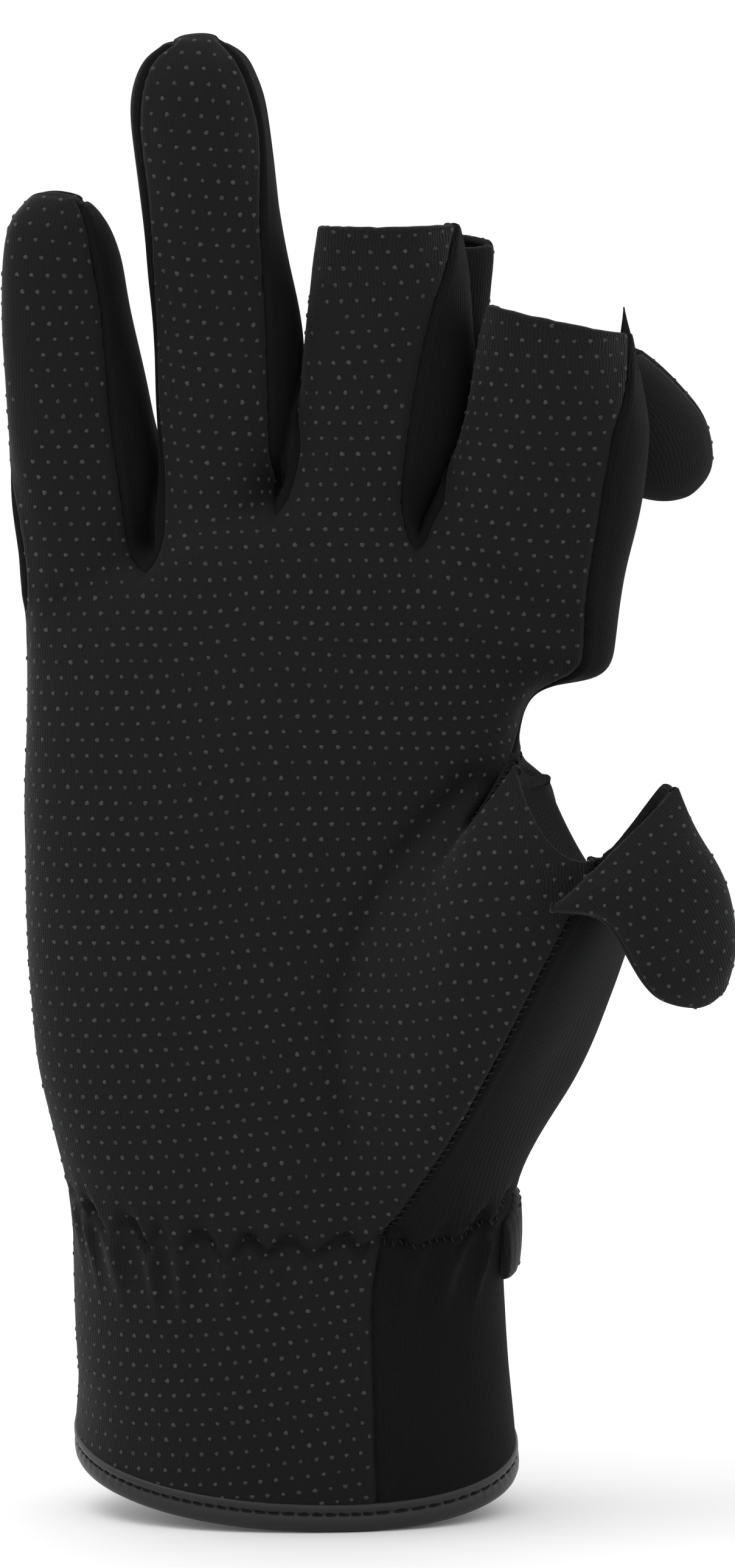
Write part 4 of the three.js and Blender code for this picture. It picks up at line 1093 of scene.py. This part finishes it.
# Wear and unevenness: a broad mottling and a scatter of lighter lint
def makeMottle():
    group, first, last = newGroup("mottle", [
        ("Place", "NodeSocketVector", None), ("Unevenness", "NodeSocketFloat", 0.3),
        ("Lint", "NodeSocketFloat", 0.3),
    ], [("Tone", "NodeSocketFloat")])
    broad = mathNode(group, "SUBTRACT", noiseNode(group, first.outputs["Place"], 45.0, 3.0), 0.5)
    speck = mathNode(group, "SUBTRACT", noiseNode(group, first.outputs["Place"], 1900.0, 2.0, 0.8), 0.5)
    tone = mathNode(group, "MULTIPLY_ADD", broad, first.outputs["Unevenness"], 1.0)
    tone = mathNode(group, "ADD", tone, mathNode(group, "MULTIPLY", speck, first.outputs["Lint"]))
    group.links.new(tone, last.inputs["Tone"])
    return group


knitGroup, mottleGroup = makeKnit(), makeMottle()

# Knit and rib pitch are in metres, as the shaders work in them
finishes = {
    "gripFabric": {"tone": 0.006, "roughness": 0.82, "sheen": 0.05, "gloss": 0.12,
                   "knit": 0.00011, "ribPitch": 0.00054, "lint": 0.9},
    "plainFabric": {"tone": 0.0056, "roughness": 0.85, "sheen": 0.02, "gloss": 0.05,
                    "knit": 0.00011, "ribPitch": 0.00050, "lint": 0.8},
    # Next, the caps' plain fabric: the plain fabric made lighter, with more sheen and gloss, as painted light
    # where light falls on the folded caps
    "capFabricPaintedLight": {"tone": 0.009, "roughness": 0.8, "sheen": 0.06, "gloss": 0.1,
                     "knit": 0.00009, "ribPitch": 0.00055, "lint": 0.5},
    "lining": {"tone": 0.005, "roughness": 0.9, "sheen": 0.05, "gloss": 0.08,
               "knit": 0.00008, "ribPitch": 0.0007, "lint": 0.3},
    "bindingTape": {"tone": 0.011, "roughness": 0.42, "sheen": 0.04, "gloss": 0.3,
                    "knit": 0.00003, "ribPitch": 0.0004, "lint": 0.2},
    "strapFabric": {"tone": 0.006, "roughness": 0.7, "sheen": 0.08, "gloss": 0.12,
                    "knit": 0.00009, "ribPitch": 0.0009, "lint": 0.4},
    "thread": {"tone": 0.004, "roughness": 0.6, "sheen": 0.03, "gloss": 0.12,
               "knit": 0.00004, "ribPitch": 0.0003, "lint": 0.2},
    "gripDot": {"tone": 0.027, "roughness": 0.55, "sheen": 0.0, "gloss": 0.2,
                "knit": 0.00001, "ribPitch": 0.0006, "lint": 0.35},
}


def makeFinish(name, f):
    material = bpy.data.materials.new(name)
    material.use_nodes = True
    tree = material.node_tree
    shader = tree.nodes["Principled BSDF"]
    shader.inputs["Sheen Weight"].default_value = f["sheen"]
    shader.inputs["Sheen Roughness"].default_value = 0.45
    shader.inputs["Sheen Tint"].default_value = (0.75, 0.77, 0.8, 1)
    shader.inputs["Specular IOR Level"].default_value = f["gloss"]
    flat = tree.nodes.new("ShaderNodeUVMap")
    flat.uv_map = "flat"
    place = tree.nodes.new("ShaderNodeTexCoord")
    toned = tree.nodes.new("ShaderNodeAttribute")
    toned.attribute_name = "tone"
    knit = tree.nodes.new("ShaderNodeGroup")
    knit.node_tree = knitGroup
    knit.inputs["Rib Pitch"].default_value = f["ribPitch"]
    tree.links.new(flat.outputs[0], knit.inputs["Flat"])
    mottle = tree.nodes.new("ShaderNodeGroup")
    mottle.node_tree = mottleGroup
    mottle.inputs["Lint"].default_value = f["lint"]
    tree.links.new(place.outputs["Object"], mottle.inputs["Place"])
    # The knit's painted groove shade darkens the colour along with the mottling
    tone = mathNode(tree, "MULTIPLY", mottle.outputs["Tone"], knit.outputs["Shade"])
    if name == "gripDot":
        tone = mathNode(tree, "MULTIPLY", mottle.outputs["Tone"], toned.outputs["Fac"])
    else:
        tree.links.new(toned.outputs["Fac"], knit.inputs["Pull"])
    tone = mathNode(tree, "MULTIPLY", tone, f["tone"])
    colour = tree.nodes.new("ShaderNodeCombineColor")
    for i, share in enumerate((0.98, 1.0, 1.04)):
        tree.links.new(mathNode(tree, "MULTIPLY", tone, share), colour.inputs[i])
    tree.links.new(colour.outputs[0], shader.inputs["Base Color"])
    rough = mathNode(tree, "MULTIPLY_ADD", mottle.outputs["Tone"], 0.12, f["roughness"] - 0.12)
    tree.links.new(rough, shader.inputs["Roughness"])
    bump = tree.nodes.new("ShaderNodeBump")
    bump.inputs["Distance"].default_value = f["knit"]
    bump.inputs["Strength"].default_value = 1.0
    tree.links.new(knit.outputs["Height"], bump.inputs["Height"])
    tree.links.new(bump.outputs[0], shader.inputs["Normal"])
    return material


materials = {name: makeFinish(name, f) for name, f in finishes.items()}
print("materials made")


def addPiece(name, mesh, finishNames, nodes):
    for finish in finishNames:
        mesh.materials.append(materials[finish])
    piece = bpy.data.objects.new(name, mesh)
    bpy.context.scene.collection.objects.link(piece)
    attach(piece, "root")
    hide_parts(*nodes)
    return piece


# Inner side of the cloth, and the rolled lips of its rims
inner, innerFaces, innerPanel, innerFlat, innerPull = roundedCloth(2)
innerNormals = meshNormals(inner, innerFaces)
lip = {"turns": 5, "stand": 0.45, "fuzz": 0.14, "pull": 0.4, "flatSize": (0.3, 0.65)}


def wallOf(panel):
    return glove["capWall"] if "_cap_" in panelNames[panel] else glove["wall"]


def lipRows(a, b, panel):
    rows = []
    for k, other, sign in ((a, b, 1), (b, a, -1)):
        p, n = Vector(fine[k]), Vector(fineNormals[k])
        along = (Vector(fine[other]) - p) * sign
        away = along.cross(n).normalized()
        row = []
        for t in range(lip["turns"] + 1):
            angle = math.pi * t / lip["turns"]
            stand = lip["stand"] + lip["fuzz"] * noise.noise(p * 1.3)
            row.append(p - n * wallOf(panel) * (1 - math.cos(angle)) / 2 + away * stand * math.sin(angle))
        rows.append(row)
    return rows


def fabricPiece(panel, name, finish):
    mine = finePanel == panel
    used, faces = np.unique(fineFaces[mine], return_inverse=True)
    faces = faces.reshape(-1, 4)
    places, flat, tones = [fine[used]], [fineFlat[mine].reshape(-1, 2)], [finePull[used]]
    liningMine = innerPanel == panel
    usedIn, facesIn = np.unique(innerFaces[liningMine], return_inverse=True)
    facesIn = facesIn.reshape(-1, 4)[:, ::-1] + len(used)
    places.append(inner[usedIn] - innerNormals[usedIn] * wallOf(panel))
    flat.append(innerFlat[liningMine][:, ::-1].reshape(-1, 2))
    tones.append(innerPull[usedIn])
    lipPlaces, lipFaces = [], []
    count = len(used) + len(usedIn)
    for (a, b), owner in rims:
        if owner != panel:
            continue
        rows = lipRows(a, b, panel)
        start = count + len(lipPlaces)
        lipPlaces += rows[0] + rows[1]
        turns = lip["turns"] + 1
        for t in range(lip["turns"]):
            lipFaces.append((start + t, start + t + 1, start + turns + t + 1, start + turns + t))
    allFaces = [faces, facesIn]
    if lipFaces:
        places.append(pointArray(lipPlaces))
        allFaces.append(np.array(lipFaces))
        tones.append(np.full(len(lipPlaces), lip["pull"]))
        flat.append(np.tile(flatSquare(0, 0, *lip["flatSize"]), (len(lipFaces), 1)))
    mesh = newMesh(name, *[np.concatenate(part) for part in (places, allFaces, flat, tones)])
    indices = np.zeros(sum(len(f) for f in allFaces), np.int32)
    indices[len(faces):len(faces) + len(facesIn)] = 1
    mesh.polygons.foreach_set("material_index", indices)
    return addPiece(name, mesh, [finish, "lining"], [panelNames[panel]])


for panel, node in enumerate(panelNames[:-1]):
    isGrip = node.endswith("_grip") or node == "palm_panel"
    # The caps' plain halves take the lighter copy of the plain fabric: painted light on the folded caps
    finish = "gripFabric" if isGrip else "capFabricPaintedLight" if "_cap_" in node else "plainFabric"
    fabricPiece(panel, node + "_cloth", finish)
print("cloth pieces made")

# Grip dots: small raised domes on a slanted lattice of the flat cloth
dots = {
    "pitch": 2.43,
    "shift": 1 / 3,
    "palmRadius": 0.385,
    "capRadius": 0.37,
    "rise": 0.2,
    "sides": 8,
    "seamRoom": 0.5,
    "radiusSpread": (0.85, 1.12),
    "riseSpread": (0.75, 1.1),
    "toneSpread": (0.65, 1.25),
    "rings": [(1.0, -0.25), (0.82, 0.62)],  # share of the radius, share of the rise
    "skirtTone": 0.55,
    "seed": 7,
}


# Lattice points in the panel's flat cloth, each with its triangle and its weights there
def latticePoints(panel):
    mine = finePanel == panel
    faces, flat = fineFaces[mine], fineFlat[mine]
    tri = np.concatenate([faces[:, [0, 1, 2]], faces[:, [0, 2, 3]]])
    uv = np.concatenate([flat[:, [0, 1, 2]], flat[:, [0, 2, 3]]])
    down = -uv[..., 1] / dots["pitch"]
    along = uv[..., 0] / dots["pitch"] - down * dots["shift"]
    low = np.stack([np.ceil(along.min(1)), np.ceil(down.min(1))], 1)
    high = np.stack([along.max(1), down.max(1)], 1)
    found = {}
    for i in np.flatnonzero(np.all(low <= high, axis=1)):
        a, b, d = [np.array((along[i, k], down[i, k])) for k in range(3)]
        area = np.cross(b - a, d - a)
        if abs(area) < 1e-9:
            continue
        wb = np.cross(low[i] - a, d - a) / area
        wd = np.cross(b - a, low[i] - a) / area
        if min(wb, wd, 1 - wb - wd) > -0.001:
            found.setdefault(tuple(low[i]), (tri[i], (1 - wb - wd, wb, wd)))
    return found


def dotMesh(panel, name, radius):
    found = latticePoints(panel)
    rng = np.random.default_rng(dots["seed"])
    places, walls, tops, tones = [], [], [], []
    sides = dots["sides"]
    for key in sorted(found):
        three, weights = found[key]
        if min(seamDistance[three]) < dots["seamRoom"]:
            continue
        p = Vector(sum(fine[k] * w for k, w in zip(three, weights)))
        n = Vector(sum(fineNormals[k] * w for k, w in zip(three, weights))).normalized()
        x = n.orthogonal().normalized()
        y = n.cross(x)
        size = radius * rng.uniform(*dots["radiusSpread"])
        height = dots["rise"] * rng.uniform(*dots["riseSpread"])
        tone = rng.uniform(*dots["toneSpread"])
        start = len(places)
        for share, up in dots["rings"]:
            for t in range(sides):
                angle = 2 * math.pi * t / sides
                uneven = 1 + 0.13 * math.sin(3 * angle + key[0]) + 0.08 * math.sin(2 * angle + key[1])
                reach = size * share * uneven
                places.append(p + (x * math.cos(angle) + y * math.sin(angle)) * reach + n * height * up)
        places.append(p + n * height)
        tones += [tone * dots["skirtTone"]] * sides + [tone] * (sides + 1)
        for t in range(sides):
            m = (t + 1) % sides
            walls.append((start + t, start + m, start + sides + m, start + sides + t))
            tops.append((start + sides + t, start + sides + m, start + 2 * sides))
    flat = np.zeros((len(walls) * 4 + len(tops) * 3, 2))
    print(name, len(found), "dots")
    return newMesh(name, pointArray(places), [np.array(walls), np.array(tops)], flat, tones)


for node in ("palm_panel", "thumb_cap_grip", "index_cap_grip", "middle_cap_grip"):
    radius = dots["palmRadius" if node == "palm_panel" else "capRadius"]
    mesh = dotMesh(panelNames.index(node), node + "_dots", radius)
    addPiece(node + "_dots", mesh, ["gripDot"], [node])


# Chains of joined edges, in order
def chainsOf(edges):
    near = {}
    for a, b in edges:
        near.setdefault(a, []).append(b)
        near.setdefault(b, []).append(a)
    left = {tuple(sorted(e)) for e in edges}
    chains = []
    ends = sorted(k for k in near if len(near[k]) != 2) + sorted(near)
    for first in ends:
        for second in sorted(near[first]):
            if tuple(sorted((first, second))) not in left:
                continue
            chain = [first, second]
            left.discard(tuple(sorted((first, second))))
            while len(near[chain[-1]]) == 2:
                following = [k for k in near[chain[-1]] if tuple(sorted((chain[-1], k))) in left]
                if not following:
                    break
                left.discard(tuple(sorted((chain[-1], following[0]))))
                chain.append(following[0])
            chains.append(chain)
    return chains


# Short rounded rods, used for every stitch
def rodMesh(name, rods, radius, sides=6):
    places, faces = [], []
    for a, b, n in rods:
        along = (b - a).normalized()
        up = (n - along * n.dot(along)).normalized()
        side = along.cross(up)
        start = len(places)
        rows = ((a - along * radius * 0.7, 0.35), (a, 0.95), ((a + b) / 2 + up * radius * 0.5, 1.0),
                (b, 0.95), (b + along * radius * 0.7, 0.35))
        for centre, share in rows:
            for t in range(sides):
                angle = 2 * math.pi * t / sides
                places.append(centre + (up * math.cos(angle) + side * math.sin(angle)) * radius * share)
        for r in range(len(rows) - 1):
            for t in range(sides):
                m = (t + 1) % sides
                lowRow, highRow = start + r * sides, start + (r + 1) * sides
                faces.append((lowRow + t, lowRow + m, highRow + m, highRow + t))
    flat = np.tile(flatSquare(0, 0, 0.4, 0.4), (len(faces), 1))
    return plainMesh(name, places, np.array(faces), flat)


stitches = {"pitch": 1.35, "reach": 0.42, "slant": 0.18, "radius": 0.2, "sink": 0.22}


def seamRods(members):
    rods = []
    for chain in chainsOf(members):
        travelled, due = 0.0, stitches["pitch"] / 2
        for a, b in zip(chain, chain[1:]):
            p, q = Vector(fine[a]), Vector(fine[b])
            step = (q - p).length
            while due <= travelled + step:
                t = (due - travelled) / step
                n = Vector(fineNormals[a]).lerp(Vector(fineNormals[b]), t).normalized()
                along = (q - p).normalized()
                middle = p.lerp(q, t) + n * (relief["seamDepth"] + relief["lipRise"] * 0.3 - stitches["sink"])
                slant = along * stitches["slant"]
                reach = along.cross(n) * stitches["reach"]
                rods.append((middle - reach - slant, middle + reach + slant, n))
                due += stitches["pitch"]
            travelled += step
    return rods


byPair = {}
for ends, pair in clothSeams:
    byPair.setdefault(pair, []).append(ends)
for pair in sorted(byPair):
    first, second = [panelNames[k] for k in pair]
    if "thumb_back" in (first, second):  # the other seams are turned in, so that no thread shows
        name = "stitches_" + first + "_" + second
        rods = seamRods(byPair[pair])
        addPiece(name, rodMesh(name, rods, stitches["radius"]), ["thread"], [first, second])
print("stitches sewn")

# Hem binding: a rolled band with a piped edge and a sunk line of stitches
binding = {
    "swell": 0.5,
    "steps": 380,
    "dashPitch": 1.9,
    "dashLength": 1.25,
    "dashRadius": 0.2,
    "dashUp": 0.645,  # share of the binding's height, as up in the profile
    "sink": 0.16,
    "ruck": 0.05,
    "profile": [  # outward and up, as a loop; up is a share of the binding's height
        (-0.9, -0.02), (-0.2, 0.0), (0.35, 0.06), (0.72, 0.17), (0.85, 0.3), (0.78, 0.44), (0.5, 0.56),
        (0.12, 0.62), (0.08, 0.67), (0.4, 0.73), (0.72, 0.79), (0.8, 0.86), (0.62, 0.95), (0.2, 1.02),
        (-0.4, 1.0), (-1.5, 1.0), (-2.0, 0.88), (-2.2, 0.5), (-2.0, 0.14), (-1.5, 0.0),
    ],
}


def closedCurve(loop, at):
    n = len(loop)
    i = int(at) % n
    return throughFour(*[loop[(i + k) % n] for k in (-1, 0, 1, 2)], at - int(at))


def hemPlace(at):
    low = closedCurve([corners[k] for k in hand[0]], at)
    high = closedCurve([corners[k] for k in hand[1]], at)
    outward = closedCurve([cageNormals[k] for k in hand[0]], at).normalized()
    return low, high, outward


def makeBinding(b):
    places, dashes = [], []
    count = len(b["profile"])
    length, before = 0.0, None
    for s in range(b["steps"]):
        low, high, outward = hemPlace(s / b["steps"] * grid["columns"])
        length += (low - before).length if before else 0.0
        before = low
        phase = (length / b["dashPitch"]) % 1.0
        sunk = b["sink"] * smooth(1 - abs(phase - 0.33) / 0.36)
        ruck = b["ruck"] * noise.noise(Vector((length * 0.35, 1.0, 0.0)))
        for out, up in b["profile"]:
            inGroove = 1.0 if 0.55 < up < 0.75 and out > 0 else 0.35 if 0.4 < up < 0.8 and out > 0 else 0.0
            push = out * b["swell"] if out > 0 else out * glove["wall"] / 1.8
            places.append(low + outward * (push + ruck - sunk * inGroove) + (high - low) * up)
    for k in range(int(length / b["dashPitch"])):
        middle = (k + 0.33) * b["dashPitch"]
        dashes.append((middle - b["dashLength"] / 2, middle + b["dashLength"] / 2))
    faces, flat = [], []
    for s in range(b["steps"]):
        n = (s + 1) % b["steps"]
        for i in range(count):
            j = (i + 1) % count
            faces.append((s * count + j, s * count + i, n * count + i, n * count + j))
            u, w = s * length / b["steps"], length / b["steps"]
            flat += [(u, i * 0.5 + 0.5), (u, i * 0.5), (u + w, i * 0.5), (u + w, i * 0.5 + 0.5)]
    mesh = plainMesh("hem_binding_tape", places, np.array(faces), flat)
    rods = []
    for start, end in dashes:
        ends = []
        for at in (start, end):
            low, high, outward = hemPlace(at / length * grid["columns"])
            ends.append(low + outward * 0.02 + (high - low) * b["dashUp"])
        rods.append((ends[0], ends[1], outward))
    return mesh, rods


mesh, rods = makeBinding(binding)
addPiece("hem_binding_tape", mesh, ["bindingTape"], ["hem_binding"])
mesh = rodMesh("hem_stitches", rods, binding["dashRadius"])
addPiece("hem_stitches", mesh, ["thread"], ["hem_binding"])

# Wrist strap over the back, following the cuff
strap = {
    "height": 11.6,
    "thickness": 2.3,
    "clearance": 0.45,
    "first": 18.2,
    "last": 33.0,
    "row": 6,
    "steps": 150,
    "dashCount": 41,
    "dashEdge": 0.81,
    "dashHalf": 0.28,
    "dashOut": 0.87,
    "dashRadius": 0.18,
    "profile": [  # along half the height, outward as a share of the thickness
        (-1, 0.25), (-0.95, 0.62), (-0.86, 0.84), (-0.76, 0.86), (-0.7, 0.98), (-0.35, 1.05), (0, 1.08),
        (0.35, 1.05), (0.7, 0.98), (0.76, 0.86), (0.86, 0.84), (0.95, 0.62), (1, 0.25), (0.8, 0.02),
        (0, 0), (-0.8, 0.02),
    ],
}
# The cuff as the gather draws it in under the strap
strapCorners = [p.copy() for p in corners]
for row, ring in enumerate(hand[:12]):
    sink = 1.1 * math.exp(-((row - grid["gatherRow"]) / 0.7) ** 2)
    for k in ring:
        if k >= 0:
            strapCorners[k] -= cageNormals[k] * sink


def cuffPlace(row, at, outward):
    r, t = int(row), row - int(row)
    low, high = [closedCurve([strapCorners[k] for k in hand[r + i]], at) for i in (0, 1)]
    normal = mix(*[closedCurve([cageNormals[k] for k in hand[r + i]], at) for i in (0, 1)], t).normalized()
    return mix(low, high, t) + normal * outward


rowHeight = (gatherUps[0] - hemUps[0] - glove["hemHeight"]) / (grid["gatherRow"] - 1)


def makeStrap(s):
    places = []
    for k in range(s["steps"] + 1):
        share = k / s["steps"]
        fromEnd = min(1.0, min(share, 1 - share) * 9 + 0.12)
        rounded = math.sqrt(1 - (1 - fromEnd) ** 2)
        half = s["height"] / 2 * mix(0.55, 1, rounded) / rowHeight
        for up, out in s["profile"]:
            stand = s["clearance"] + out * s["thickness"] * mix(0.35, 1, rounded)
            places.append(cuffPlace(s["row"] + up * half, mix(s["first"], s["last"], share), stand))
    count = len(s["profile"])
    faces, flat = [], []
    for k in range(s["steps"]):
        for i in range(count):
            j = (i + 1) % count
            faces.append(((k + 1) * count + i, (k + 1) * count + j, k * count + j, k * count + i))
            u, v = k * 0.6, i * 0.9
            flat += [(u, v), (u, v + 0.9), (u + 0.6, v + 0.9), (u + 0.6, v)]
    ends = []
    for base, turn in ((0, 1), (s["steps"] * count, -1)):
        ends += [(base, base + i, base + i + 1)[::turn] for i in range(1, count - 1)]
    flat += [(0, 0)] * (len(ends) * 3)
    return plainMesh("wrist_strap_webbing", places, [np.array(faces), np.array(ends)], flat)


def strapRods(s):
    stand = s["clearance"] + s["thickness"] * s["dashOut"]
    rods = []
    for edge in (-s["dashEdge"], s["dashEdge"]):
        for k in range(3, s["dashCount"] - 3):
            ends = []
            for shift in (-s["dashHalf"], s["dashHalf"]):
                at = mix(s["first"], s["last"], (k + shift) / s["dashCount"])
                ends.append(cuffPlace(s["row"] + edge * s["height"] / 2 / rowHeight, at, stand))
            column = round(mix(s["first"], s["last"], k / s["dashCount"])) % grid["columns"]
            rods.append((ends[0], ends[1], cageNormals[hand[s["row"]][column]]))
    return rods


addPiece("wrist_strap_webbing", makeStrap(strap), ["strapFabric"], ["wrist_strap"])
mesh = rodMesh("wrist_strap_stitches", strapRods(strap), strap["dashRadius"])
addPiece("wrist_strap_stitches", mesh, ["thread"], ["wrist_strap"])
print("binding and strap made")

# Pointed seam ends that stand at the corners of the openings, in mm
# Columns: one side, tip, other side, foot
points = {
    "indexPoint": [(49.0, -23.5, 176.6), (50.9, -21.5, 185.2), (52.6, -19.5, 175.6), (52.0, -21.5, 169.6)],
    "middlePoint": [(21.9, -22.0, 193.6), (23.0, -20.6, 197.6), (24.3, -19.0, 193.0), (23.1, -21.0, 188.6)],
}


def pointMesh(name, four, thickness=0.7):
    a, tip, b, foot = [Vector(p) for p in four]
    outward = (b - a).cross(tip - foot).normalized()
    rows, count = [], 9
    for k in range(count + 1):
        t = k / count
        middle = foot.lerp(tip, t)
        wide = math.sin(math.pi * min(1.0, t / 0.86)) * 0.5 if t < 0.43 else (1 - t) / 0.57 * 0.5
        side = (b - a) * max(wide, 0.02)
        thick = outward * thickness * mix(1.0, 0.3, t) / 2
        rows.append([middle - side, middle - side * 0.5 + thick, middle + side * 0.5 + thick, middle + side,
                     middle + side * 0.5 - thick, middle - side * 0.5 - thick])
    places = [p for row in rows for p in row]
    faces = []
    for r in range(0, count * 6, 6):
        for i in range(6):
            j = (i + 1) % 6
            faces.append((r + i, r + j, r + 6 + j, r + 6 + i))
    flat = np.tile(flatSquare(0, 0, 0.5, 0.9), (len(faces), 1))
    return plainMesh(name, places, np.array(faces), flat)


for name, four in points.items():
    addPiece(name, pointMesh(name, four), ["plainFabric"], ["back_panel"])

# Pale floor under the hem
floorMesh = bpy.data.meshes.new("floor")
reach = studio["floorSize"] / 2
lowest = min(p.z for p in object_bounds())
floorMesh.from_pydata([(reach * x, reach * y, lowest) for x, y in ((-1, -1), (1, -1), (1, 1), (-1, 1))],
                      [], [(0, 1, 2, 3)])
floor = bpy.data.objects.new("floor", floorMesh)
bpy.context.scene.collection.objects.link(floor)
paper = bpy.data.materials.new("paper")
paper.use_nodes = True
paperShader = paper.node_tree.nodes["Principled BSDF"]
paperShader.inputs["Base Color"].default_value = (studio["floorTone"],) * 3 + (1,)
paperShader.inputs["Roughness"].default_value = 0.9
floorMesh.materials.append(paper)
floor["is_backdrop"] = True

print("done")
